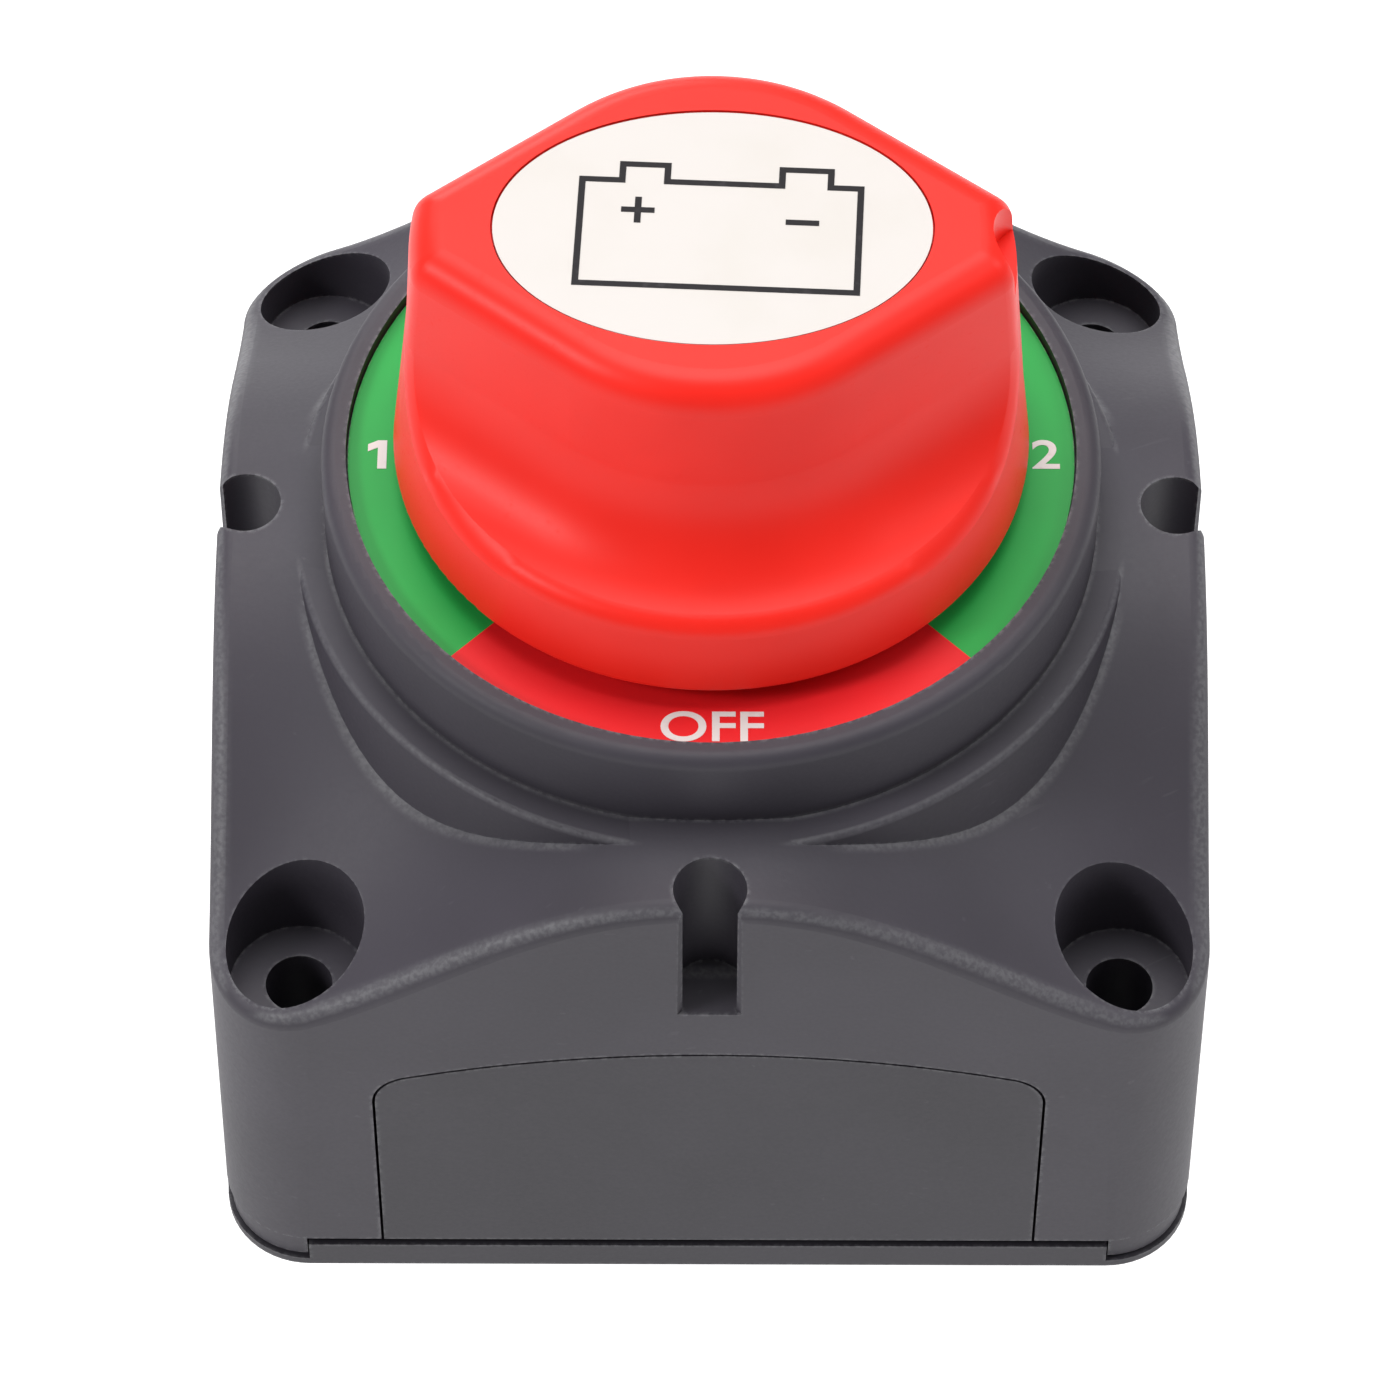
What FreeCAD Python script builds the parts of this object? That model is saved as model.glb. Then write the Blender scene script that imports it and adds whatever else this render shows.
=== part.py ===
import FreeCAD, Part
import math
import os

# Marine battery switch, four positions, surface mounted.  Millimetres, +Z up.
# Origin: middle of the back cover's underside.  -Y is the OFF side, +X is position 2,
# +Y is both batteries together and -X is position 1.  At rest the knob points to 2.

# --- housing -------------------------------------------------------------------------
HALF_WIDTH = 34.5            # half the outer width at the foot
DRAFT_IN = 0.45              # how far each wall leans in by the top of the block
CORNER_R_FOOT = 6.1
CORNER_R_TOP = 7.6
WALL = 2.6                   # shell thickness
SHOULDER_Z = 29.85           # height of the sloping top at its four corners
CROWN_RISE = 14.53           # from the corners up to the middle of each side
CROWN_POWER = 1.13           # above 1 holds the slope up longer before it falls away
CROWN_EDGE_R = 1.2
LEDGE_DROP = 0.48            # pedestal's ledge below the crown's highest line
LEDGE = 2.16                 # width of the ledge round the collar
PEDESTAL_FLARE = 0.166       # growth of the radius for each millimetre down
COLLAR_R = 26.7
COLLAR_HEIGHT = 7.0          # above the ledge
COLLAR_EDGE_R = 1.0
COLLAR_WALL = 3.0            # between the collar's outside and the contact chamber
CHAMBER_WALL = 2.5           # wall of the chamber below the collar
ROOF = 3.0                   # thickness between the chamber and the dial

# --- mounting holes, key slots -------------------------------------------------------
HOLE_SPACING = 56.4
HOLE_R = 2.3
HEAD_POCKET_R = 4.8
HEAD_POCKET_DEPTH = 3.15     # floor of a head pocket below the shoulder
POST_WALL = 2.3              # plastic around a mounting hole
POCKET_WALL = 1.8            # plastic around a head pocket
POCKET_FLOOR = 1.8
KEY_R = 2.47
KEY_INSET = 2.3              # from the housing's foot in to a key slot's centre
KEY_NECK = 3.16
KEY_MOUTH = 4.05
KEY_DEPTH = 12.18            # below the middle of a side
KEY_WALL = 2.1

# --- back cover ----------------------------------------------------------------------
COVER_EDGE = 0.7             # thin edge that runs round under the corner legs
COVER_FLOOR = 2.0
RAIL_TOP_Z = 2.57
RAIL_CUT = 6.1               # from the housing's foot in to the end of a rail
COVER_GAP = 0.8              # dark line between the housing's wall and the rail
LEG_GAP = 0.25
LEG_INSET = 0.3              # corner legs stand back from the wall above them
KEEPER_HEIGHT = 4.0          # ribs that stop the side plates from falling inwards
KEEPER_HALF = 17.0
KEEPER_THICK = 1.2
FOOT_RECESS = 0.4

# --- side plates ---------------------------------------------------------------------
PLATE_HALF = 23.0
PLATE_BOTTOM_Z = 3.35
PLATE_DROP = 2.75            # top of a plate below the shoulder
PLATE_CORNER_R = 3.0
PLATE_ARCH_R = 74.0
PLATE_GAP = 0.2
PLATE_LAP = 1.0              # the inner flange reaches this far behind the wall
PLATE_FLANGE = 1.2
SLIDE_GAP = 0.1

# --- dial and knob -------------------------------------------------------------------
RIM = 1.72                   # collar left standing round the dial
DIAL_THICK = 0.5
DIAL_DEPTH = 0.82            # label face below the collar's rim
DIAL_GAP = 0.12
HUB_WALL = 3.5
HUB_RISE = 0.3               # hub above the collar's rim
KNOB_GAP = 1.0               # knob above the collar's rim
SKIRT_HEIGHT = 6.2
GRIP_HEIGHT = 16.0
SKIRT_R_LOW = 21.7
SKIRT_DRAFT = 0.65           # how much smaller the skirt is at its top
TIP_DRAFT = 1.25             # how much further in the grip's two tips end
GRIP_DEPTH = 14.3            # half thickness of the grip at its middle
GRIP_ARC_R = 15.2            # rounding of the grip's flat sides in plan
GRIP_FLANK_DEG = 37.3        # angle of the straight flanks to the long axis
GRIP_DRAFT_DEG = 2.0
GRIP_SWEEP_R = 7.4           # hollow between the grip and the skirt
GRIP_EDGE_R = 2.4
TIP_EDGE_R = 1.6
SKIRT_EDGE_R = 0.4
SKIRT_WALL = 2.4
GRIP_WALL = 2.6
TIP_WALL = 4.3               # solid end left at each tip beyond the grip's hollow
NOTCH_R = 3.4
NOTCH_OUT = 2.0              # the notch is centred this far outside the tip
NOTCH_DEPTH = 3.6
LABEL_A = 14.43
LABEL_B = 9.9
LABEL_GAP = 0.14
LABEL_THICK = 0.55
LABEL_SINK = 0.08

# --- rotor ---------------------------------------------------------------------------
JOURNAL_R = 7.95
RUNNING_GAP = 0.05
STEM_R = 6.0
STEM_FLAT = 4.5              # half the width across the stem's two flats
STEM_COVER = 8.1             # knob left above the stem
STEM_CHAMFER = 0.4
STEM_FIT = 0.12
SOCKET_WALL = 2.1
SOCKET_LIFT = 0.7            # knob's socket starts this far above its skirt
SOCKET_SPARE = 0.6
THRUST_WIDTH = 4.0
THRUST_THICK = 0.6
THRUST_GAP = 0.1
ROTOR_PLAY = 3.1             # between the disc and the chamber wall
ROTOR_THICK = 6.2
NOTCH_COUNT = 4
DETENT_DEPTH = 1.3
DETENT_HALF = 3.2            # half width of a detent notch at the rotor's edge
SEAL_R = 0.9                 # thickness radius of the sealing ring
SEAL_GAP = 0.03
GROOVE_SPARE = 0.1
TAIL_R = 2.5
TAIL_DEPTH = 3.0             # how far the tail reaches into the contact base

# --- detent springs ------------------------------------------------------------------
LEAF_THICK = 0.4
LEAF_HEIGHT = 4.0
LEAF_END_DEG = 25.0
LEAF_FOOT_DEG = 8.5
LEAF_REST = 0.15             # play between the leaf's bump and the notch
ANCHOR_DEPTH = 1.6
ANCHOR_DEG = 4.0

# --- contacts ------------------------------------------------------------------------
BASE_LAP = 0.8               # contact base beyond the chamber's radius
BASE_CORNER_R = 5.0
BASE_DROP = 1.75             # top of the contact base below the shoulder
BASE_THICK = 5.5
BARRIER_THICK = 1.6
BARRIER_R = 21.0
BARRIER_DROP = 9.0
PAD_THICK = 2.5
PAD_R_IN = 9.5
PAD_PLAY = 2.2               # between the pads and the chamber wall
PAD_START_DEG = -30.0
PAD_GAP_DEG = 12.0           # gap between the two pads, on the +Y side
COMMON_R = 7.4
COMMON_ARM_HALF = 5.5
CONTACT_GAP = 0.05
BRIDGE_THICK = 2.5
BRIDGE_FOOT = 1.0
BRIDGE_HALF_DEG = 25.0
BRIDGE_SHORT = 0.7           # bridge ends this far inside the pads' edge
BRIDGE_HUB_WALL = 3.8
BRIDGE_FOOT_START = 3.0      # bridge's foot starts this far outside the pads' inner edge
BRIDGE_BORE_GAP = 0.3
DRIVER_GAP_DEG = 1.0
DRIVER_DEG = 8.0
DRIVER_CLEAR = 2.4           # between the drivers and the bridge's hub
DRIVER_EDGE = 1.1            # drivers end this far inside the disc's edge
DRIVER_LAP = 1.6             # how far the drivers reach down beside the bridge
SPRING_R = 2.4
SPRING_WIRE = 0.7
SPRING_EDGE = 5.1            # spring centres inside the disc's edge
SPRING_DEG = 12.0
SPRING_POCKET = 2.6
SPRING_GAP = 0.25
TAIL_SPRING_PLAY = 1.5

# --- studs and fasteners -------------------------------------------------------------
STUD_R = 5.0
STUD_SIDE_X = 13.0
STUD_SIDE_Y = 8.0
STUD_COMMON_Y = -15.0
STUD_END_Z = 5.0
STUD_HEAD_RIM = 2.0
STUD_HEAD_THICK = 3.0
STUD_CHAMFER = 0.8
STUD_GAP = 0.1
WASHER_RIM = 5.0
WASHER_THICK = 2.0
LOCK_RIM = 3.6
LOCK_THICK = 2.5
LOCK_SLIT = 0.9
NUT_WALL = 3.5               # between the thread and a flat
NUT_THICK = 8.0
NUT_CHAMFER = 0.9
SCREW_R = 1.5
SCREW_HEAD_R = 2.8
SCREW_HEAD_THICK = 1.9
SCREW_HEAD_EDGE_R = 0.8
SCREW_LENGTH = 12.0
SCREW_BOSS_R = 3.4
SCREW_INTO_WALL = 0.6        # screw bosses run into the chamber wall by this much
SCREW_CLEAR = 1.7            # between a screw's head and the nearest flat washer
SCREW_EDGE = 3.9             # plate left outside a screw's centre
CROSS_HALF = 1.75            # half length of a screw's cross recess
CROSS_WIDTH = 0.8
CROSS_DEPTH = 1.0

# --- places that follow from the sizes above -----------------------------------------
INNER_HALF = HALF_WIDTH - WALL
LEG_BOTTOM_Z = COVER_EDGE + LEG_GAP
WALL_BOTTOM_Z = RAIL_TOP_Z + COVER_GAP
RAIL_HALF = HALF_WIDTH - RAIL_CUT
SADDLE_Z = SHOULDER_Z + CROWN_RISE
PEDESTAL_TOP_Z = SADDLE_Z - LEDGE_DROP
PEDESTAL_R = COLLAR_R + LEDGE
COLLAR_TOP_Z = PEDESTAL_TOP_Z + COLLAR_HEIGHT
BLOCK_TOP_Z = COLLAR_TOP_Z
PLATE_TOP_Z = SHOULDER_Z - PLATE_DROP
KEY_FLOOR_Z = SADDLE_Z - KEY_DEPTH
KEY_CENTRE = HALF_WIDTH - KEY_INSET
HEAD_POCKET_Z = SHOULDER_Z - HEAD_POCKET_DEPTH
HOLE_AT = HOLE_SPACING / 2
CHAMBER_R = COLLAR_R - COLLAR_WALL
DIAL_R = COLLAR_R - RIM - DIAL_GAP
DIAL_TOP_Z = COLLAR_TOP_Z - DIAL_DEPTH
ROOF_TOP_Z = DIAL_TOP_Z - DIAL_THICK
ROOF_Z = ROOF_TOP_Z - ROOF
BORE_R = JOURNAL_R + RUNNING_GAP
HUB_R = BORE_R + HUB_WALL
HUB_TOP_Z = COLLAR_TOP_Z + HUB_RISE
KNOB_BOTTOM_Z = COLLAR_TOP_Z + KNOB_GAP
SKIRT_TOP_Z = KNOB_BOTTOM_Z + SKIRT_HEIGHT
KNOB_TOP_Z = SKIRT_TOP_Z + GRIP_HEIGHT
SKIRT_R_TOP = SKIRT_R_LOW - SKIRT_DRAFT
TIP_R_TOP = SKIRT_R_TOP - TIP_DRAFT
STEM_TOP_Z = KNOB_TOP_Z - STEM_COVER
SOCKET_BOTTOM_Z = KNOB_BOTTOM_Z + SOCKET_LIFT
SOCKET_TOP_Z = STEM_TOP_Z + SOCKET_SPARE
THRUST_R = BORE_R + THRUST_WIDTH
ROTOR_R = CHAMBER_R - ROTOR_PLAY
ROTOR_TOP_Z = ROOF_Z - THRUST_GAP - THRUST_THICK
ROTOR_BOTTOM_Z = ROTOR_TOP_Z - ROTOR_THICK
BASE_TOP_Z = SHOULDER_Z - BASE_DROP
BASE_BOTTOM_Z = BASE_TOP_Z - BASE_THICK
PAD_R_OUT = CHAMBER_R - PAD_PLAY
PAD_TOP_Z = BASE_TOP_Z + PAD_THICK
BRIDGE_R = PAD_R_OUT - BRIDGE_SHORT
BRIDGE_HUB_R = TAIL_R + BRIDGE_BORE_GAP + BRIDGE_HUB_WALL
BRIDGE_BOTTOM_Z = PAD_TOP_Z + CONTACT_GAP
BRIDGE_TOP_Z = BRIDGE_BOTTOM_Z + BRIDGE_FOOT + BRIDGE_THICK
DRIVER_R_OUT = ROTOR_R - DRIVER_EDGE
WASHER_R = STUD_R + WASHER_RIM
SCREW_BY_WALL = (CHAMBER_R + CHAMBER_WALL + SCREW_BOSS_R - SCREW_INTO_WALL) / math.sqrt(2)
SCREW_BY_WASHER = (STUD_SIDE_X + STUD_SIDE_Y) / 2 + math.sqrt(
    (WASHER_R + SCREW_CLEAR + SCREW_HEAD_R) ** 2 / 2 - (STUD_SIDE_X - STUD_SIDE_Y) ** 2 / 4)
SCREW_AT = max(SCREW_BY_WALL, SCREW_BY_WASHER)
BASE_HALF = max(CHAMBER_R + BASE_LAP, SCREW_AT + SCREW_EDGE)
GRIP_CENTRE_Y = GRIP_DEPTH - GRIP_ARC_R
SEAL_Z = (ROOF_Z + HUB_TOP_Z) / 2
SEAL_CENTRE_R = BORE_R - SEAL_GAP - SEAL_R
KEEPER_FACE = INNER_HALF - SLIDE_GAP - PLATE_FLANGE - 3 * SLIDE_GAP
STUDS = {
    "stud_1": (-STUD_SIDE_X, STUD_SIDE_Y),
    "stud_2": (STUD_SIDE_X, STUD_SIDE_Y),
    "stud_common": (0.0, STUD_COMMON_Y),
}
LEAF_ANGLES = (0, 180)
UP = FreeCAD.Vector(0, 0, 1)
CENTRE = FreeCAD.Vector(0, 0, 0)


def point(x, y, z=0.0):
    return FreeCAD.Vector(x, y, z)


def polar(radius, degrees, z=0.0):
    angle = math.radians(degrees)
    return point(radius * math.cos(angle), radius * math.sin(angle), z)


def cylinder(radius, bottom, top, x=0.0, y=0.0):
    return Part.makeCylinder(radius, top - bottom, point(x, y, bottom))


def cone(radius_low, radius_high, bottom, top):
    return Part.makeCone(radius_low, radius_high, top - bottom, point(0, 0, bottom))


def block(x_low, x_high, y_low, y_high, bottom, top):
    size = (x_high - x_low, y_high - y_low, top - bottom)
    return Part.makeBox(*size, point(x_low, y_low, bottom))


def turned(shape, degrees):
    copy = shape.copy()
    copy.rotate(CENTRE, UP, degrees)
    return copy


def four_sides(shape):
    return [turned(shape, quarter * 90) for quarter in range(4)]


def corners(offset):
    return [(sx * offset, sy * offset) for sx in (-1, 1) for sy in (-1, 1)]


def line(start, end):
    return Part.LineSegment(start, end).toShape()


def arc(start, middle, end):
    return Part.Arc(start, middle, end).toShape()


def rounded_square(half, radius, z):
    """Closed outline of a square with round corners."""
    flat = half - radius
    edges = []
    for quarter in range(4):
        side = [
            line(point(half, -flat, z), point(half, flat, z)),
            arc(
                point(half, flat, z),
                point(flat, flat, z) + polar(radius, 45),
                point(flat, half, z),
            ),
        ]
        edges += [turned(edge, quarter * 90) for edge in side]
    return Part.Wire(edges)


def rounded_prism(half, radius, bottom, top):
    return Part.Face(rounded_square(half, radius, bottom)).extrude(UP * (top - bottom))


def sector(inner, outer, start, end, bottom, top):
    """Ring segment between two angles in degrees."""
    middle = (start + end) / 2
    edges = [
        arc(polar(outer, start, bottom), polar(outer, middle, bottom), polar(outer, end, bottom)),
        line(polar(outer, end, bottom), polar(inner, end, bottom)),
        arc(polar(inner, end, bottom), polar(inner, middle, bottom), polar(inner, start, bottom)),
        line(polar(inner, start, bottom), polar(outer, start, bottom)),
    ]
    return Part.Face(Part.Wire(edges)).extrude(UP * (top - bottom))


def fused(shapes):
    return shapes[0].multiFuse(shapes[1:]).removeSplitter()


def edges_at(shape, z):
    """Edges that lie at one height."""
    return [
        edge for edge in shape.Edges
        if abs(edge.BoundBox.ZMin - z) < 0.01 and abs(edge.BoundBox.ZMax - z) < 0.01
    ]


# --- housing -------------------------------------------------------------------------
def outer_block():
    """Leaning walls of the housing, from the legs up past the top of the crown."""
    foot = rounded_square(HALF_WIDTH, CORNER_R_FOOT, LEG_BOTTOM_Z)
    top = rounded_square(HALF_WIDTH - DRAFT_IN, CORNER_R_TOP, BLOCK_TOP_Z)
    return Part.makeLoft([foot, top], True, True)


def crown_height(x, y):
    """Four ridges run from the collar to the sides and fall away to the corners."""
    def fall(distance):
        share = min(abs(distance) / (HALF_WIDTH - DRAFT_IN), 1.0)
        return 1 - (1 + math.cos(math.pi * share ** CROWN_POWER)) / 2
    return SADDLE_Z - (SADDLE_Z - SHOULDER_Z) * fall(x) * fall(y)


def under_crown(drop):
    """Everything below the crown lowered by drop, wider than the housing."""
    steps = 18
    reach = HALF_WIDTH * 1.15
    pitch = 2 * reach / steps
    places = [-reach + pitch * step for step in range(steps + 1)]
    heights = [[crown_height(x, y) - drop for y in places] for x in places]
    surface = Part.BSplineSurface()
    surface.interpolate(heights, -reach, pitch, -reach, pitch)
    return surface.toShape().extrude(UP * -(SADDLE_Z + WALL))


def plate_outline(grow, bottom, y):
    """Arched outline of a side plate, grown outwards, at one distance from the axis."""
    half = PLATE_HALF + grow
    corner = PLATE_CORNER_R + grow
    arch = PLATE_ARCH_R + grow
    arch_z = PLATE_TOP_Z - PLATE_ARCH_R
    corner_x = half - corner
    corner_z = arch_z + math.sqrt((arch - corner) ** 2 - corner_x ** 2)
    lean = math.atan2(corner_x, corner_z - arch_z)
    meet = (arch * math.sin(lean), arch_z + arch * math.cos(lean))
    bend = (math.pi / 2 - lean) / 2
    middle = (corner_x + corner * math.cos(bend), corner_z + corner * math.sin(bend))
    edges = [line(point(-half, y, bottom), point(half, y, bottom))]
    for side in (1, -1):
        edges.append(line(point(side * half, y, bottom), point(side * half, y, corner_z)))
        edges.append(
            arc(
                point(side * half, y, corner_z),
                point(side * middle[0], y, middle[1]),
                point(side * meet[0], y, meet[1]),
            )
        )
    top = arc(point(meet[0], y, meet[1]), point(0, y, arch_z + arch), point(-meet[0], y, meet[1]))
    edges.append(top)
    return Part.Wire(Part.__sortEdges__(edges))


def plate_slab(grow, bottom, y_out, y_in):
    face = Part.Face(plate_outline(grow, bottom, -y_out))
    return face.extrude(point(0, y_out - y_in, 0))


def key_slot():
    """Keyhole slot in the front wall: a round bore with a neck to the outside."""
    top = COLLAR_TOP_Z
    outside = HALF_WIDTH + 1
    neck = block(-KEY_NECK / 2, KEY_NECK / 2, -outside, -KEY_CENTRE, KEY_FLOOR_Z, top)
    flare = (KEY_MOUTH - KEY_NECK) / 2
    face_y = HALF_WIDTH - DRAFT_IN
    reach = outside - face_y
    half_out = KEY_MOUTH / 2 + reach
    half_in = KEY_NECK / 2
    mouth = Part.makePolygon([
        point(-half_out, -outside, KEY_FLOOR_Z), point(half_out, -outside, KEY_FLOOR_Z),
        point(half_in, flare - face_y, KEY_FLOOR_Z), point(-half_in, flare - face_y, KEY_FLOOR_Z),
        point(-half_out, -outside, KEY_FLOOR_Z),
    ])
    bore = cylinder(KEY_R, KEY_FLOOR_Z, top, 0, -KEY_CENTRE)
    return fused([bore, neck, Part.Face(mouth).extrude(UP * (top - KEY_FLOOR_Z))])


def housing_solid():
    """Outer form of the housing, still full inside: block, pedestal and collar."""
    skin = outer_block().common(under_crown(0))
    rim = [
        edge for edge in skin.Edges
        if edge.BoundBox.ZMin > SHOULDER_Z - 1 and edge.BoundBox.ZMax < SADDLE_Z + 1
    ]
    skin = skin.makeFillet(CROWN_EDGE_R, rim)
    flare = PEDESTAL_FLARE * (PEDESTAL_TOP_Z - SHOULDER_Z)
    pedestal = cone(PEDESTAL_R + flare, PEDESTAL_R, SHOULDER_Z, PEDESTAL_TOP_Z)
    pedestal = pedestal.makeFillet(COLLAR_EDGE_R / 2, edges_at(pedestal, PEDESTAL_TOP_Z))
    collar = cylinder(COLLAR_R, PEDESTAL_TOP_Z - ROOF, COLLAR_TOP_Z)
    collar = collar.makeFillet(COLLAR_EDGE_R, edges_at(collar, COLLAR_TOP_Z))
    return fused([skin, pedestal, collar])


def housing_cavity():
    """The hollow under the crown, less the chamber wall, posts and bosses in it."""
    hollow = rounded_prism(INNER_HALF, CORNER_R_FOOT - WALL, 0, BLOCK_TOP_Z)
    hollow = hollow.common(under_crown(WALL))
    top = COLLAR_TOP_Z
    pieces = [cylinder(CHAMBER_R + CHAMBER_WALL, BASE_TOP_Z, top)]
    for x, y in corners(HOLE_AT):
        pieces.append(cylinder(HOLE_R + POST_WALL, 0, HEAD_POCKET_Z, x, y))
        bottom = HEAD_POCKET_Z - POCKET_FLOOR
        pieces.append(cylinder(HEAD_POCKET_R + POCKET_WALL, bottom, top, x, y))
    for x, y in corners(SCREW_AT):
        pieces.append(cylinder(SCREW_BOSS_R, BASE_TOP_Z, top, x, y))
    wall = KEY_R + KEY_WALL
    pieces += four_sides(
        block(-wall, wall, -HALF_WIDTH, wall - KEY_CENTRE, KEY_FLOOR_Z - KEY_WALL, top)
    )
    for piece in pieces:
        hollow = hollow.cut(piece)
    return hollow


def leaf_anchor(degrees):
    """Rib on the chamber wall that holds one end of a detent spring."""
    bottom = ROTOR_TOP_Z - (ROTOR_THICK + LEAF_HEIGHT) / 2
    return sector(CHAMBER_R - ANCHOR_DEPTH, CHAMBER_R + 0.5, degrees - ANCHOR_DEG / 2,
                  degrees + ANCHOR_DEG / 2, bottom, ROOF_Z)


def make_housing():
    body = housing_solid().cut(housing_cavity())
    body = body.cut(cylinder(CHAMBER_R, 0, ROOF_Z))
    anchor_at = LEAF_END_DEG + ANCHOR_DEG / 2 + 1
    anchors = [
        leaf_anchor(angle + side * anchor_at) for angle in LEAF_ANGLES for side in (-1, 1)
    ]
    recess = cylinder(DIAL_R + DIAL_GAP, ROOF_TOP_Z, COLLAR_TOP_Z + 1)
    body = body.cut(recess)
    hub = cylinder(HUB_R, ROOF_Z, HUB_TOP_Z)
    body = fused([body, hub] + anchors)
    cuts = [cylinder(BORE_R, 0, HUB_TOP_Z + 1)]
    for x, y in corners(HOLE_AT):
        cuts.append(cylinder(HOLE_R, 0, HEAD_POCKET_Z + 1, x, y))
        cuts.append(cylinder(HEAD_POCKET_R, HEAD_POCKET_Z, COLLAR_TOP_Z, x, y))
    for x, y in corners(SCREW_AT):
        cuts.append(cylinder(SCREW_R, 0, BASE_BOTTOM_Z + SCREW_LENGTH + 1, x, y))
    cuts += four_sides(key_slot())
    cuts += four_sides(plate_slab(PLATE_GAP, 0, HALF_WIDTH + 1, INNER_HALF - SLIDE_GAP))
    cuts += four_sides(rail_room())
    cuts += [leg_trim(), block(*(-HALF_WIDTH, HALF_WIDTH) * 2, 0, LEG_BOTTOM_Z)]
    for cut in cuts:
        body = body.cut(cut)
    return body


def rail_room():
    """Space for one rail of the back cover under the housing's front wall."""
    half = RAIL_HALF + LEG_GAP / 2
    return block(-half, half, -HALF_WIDTH - 1, SLIDE_GAP - INNER_HALF, 0, WALL_BOTTOM_Z)


def leg_trim():
    """Ring that sets the four corner legs back from the wall above them."""
    outside = rounded_prism(HALF_WIDTH + 1, CORNER_R_FOOT, 0, WALL_BOTTOM_Z)
    inside = rounded_prism(HALF_WIDTH - LEG_INSET, CORNER_R_FOOT - LEG_INSET, 0, WALL_BOTTOM_Z)
    return outside.cut(inside)


# --- back cover and side plates ------------------------------------------------------
def make_back_cover():
    edge = rounded_prism(HALF_WIDTH, CORNER_R_FOOT, 0, COVER_EDGE)
    floor_half = INNER_HALF - 2 * LEG_GAP
    floor = rounded_prism(floor_half, CORNER_R_FOOT - WALL, 0, COVER_FLOOR)
    rail = block(-RAIL_HALF, RAIL_HALF, -HALF_WIDTH, -INNER_HALF, 0, RAIL_TOP_Z)
    link = block(-KEEPER_HALF, KEEPER_HALF, -HALF_WIDTH + 1, -floor_half + 1, 0, COVER_FLOOR)
    keeper = block(-KEEPER_HALF, KEEPER_HALF, -KEEPER_FACE, KEEPER_THICK - KEEPER_FACE,
                   0, COVER_FLOOR + KEEPER_HEIGHT)
    body = fused([edge, floor] + four_sides(rail) + four_sides(link) + four_sides(keeper))
    post_r = HOLE_R + POST_WALL + LEG_GAP
    for x, y in corners(HOLE_AT):
        body = body.cut(cylinder(post_r, COVER_EDGE, RAIL_TOP_Z + 1, x, y))
        body = body.cut(cylinder(HOLE_R, -1, RAIL_TOP_Z + 1, x, y))
    inner = HOLE_AT - post_r - 1
    recess = rounded_prism(inner, CORNER_R_FOOT - WALL, 0, FOOT_RECESS)
    cross = block(-inner, inner, -WALL, WALL, 0, FOOT_RECESS)
    return body.cut(recess.cut(fused([cross, turned(cross, 90)])))


def make_side_plate():
    """The front plate: a panel flush with the wall and a wider flange behind it."""
    panel = plate_slab(0, PLATE_BOTTOM_Z, HALF_WIDTH + 1, INNER_HALF - SLIDE_GAP)
    panel = panel.common(outer_block())
    face = INNER_HALF - SLIDE_GAP
    flange = plate_slab(PLATE_LAP, COVER_FLOOR, face, face - PLATE_FLANGE)
    return fused([panel, flange])


# --- dial and knob -------------------------------------------------------------------
def make_dial_label():
    ring = cylinder(DIAL_R, ROOF_TOP_Z, DIAL_TOP_Z)
    return ring.cut(cylinder(HUB_R + DIAL_GAP, ROOF_TOP_Z, DIAL_TOP_Z))


def grip_outline(offset, z):
    """Outside of one flat side of the grip: flank, arc, flank, closed far away."""
    lean = math.radians(GRIP_FLANK_DEG)
    radius = GRIP_ARC_R + offset
    reach = 3 * SKIRT_R_LOW
    meet = (radius * math.sin(lean), GRIP_CENTRE_Y + radius * math.cos(lean))
    far = (meet[0] + reach * math.cos(lean), meet[1] - reach * math.sin(lean))
    points = [
        point(-far[0], far[1], z), point(-meet[0], meet[1], z),
        point(0, GRIP_CENTRE_Y + radius, z), point(meet[0], meet[1], z),
        point(far[0], far[1], z), point(far[0], reach, z), point(-far[0], reach, z),
    ]
    return Part.Wire([
        line(points[0], points[1]), arc(points[1], points[2], points[3]),
        line(points[3], points[4]), line(points[4], points[5]),
        line(points[5], points[6]), line(points[6], points[0]),
    ])


def grip_cutter():
    """What is taken off one side of the blank, with the large hollow at its foot."""
    top = KNOB_TOP_Z + 1
    spread = math.tan(math.radians(GRIP_DRAFT_DEG)) * (KNOB_TOP_Z - SKIRT_TOP_Z)
    extra = math.tan(math.radians(GRIP_DRAFT_DEG))
    low = grip_outline(spread, SKIRT_TOP_Z)
    cutter = Part.makeLoft([low, grip_outline(-extra, top)], True, True)
    inner = [
        edge for edge in edges_at(cutter, SKIRT_TOP_Z)
        if edge.BoundBox.YMax < GRIP_DEPTH + spread + 1 and edge.BoundBox.XLength > 1
    ]
    return cutter.makeFillet(GRIP_SWEEP_R, inner)


def grip_prism(inset, bottom, top):
    """The grip's plan shape, inset from its faces, as a straight prism."""
    prism = cylinder(TIP_R_TOP - TIP_WALL, bottom, top)
    outline = Part.Face(grip_outline(-inset, bottom)).extrude(UP * (top - bottom))
    for side in (0, 180):
        prism = prism.cut(turned(outline, side))
    return prism


def double_flat(radius, flat, bottom, top):
    body = cylinder(radius, bottom, top)
    return body.common(block(-flat, flat, -radius, radius, bottom, top))


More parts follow.
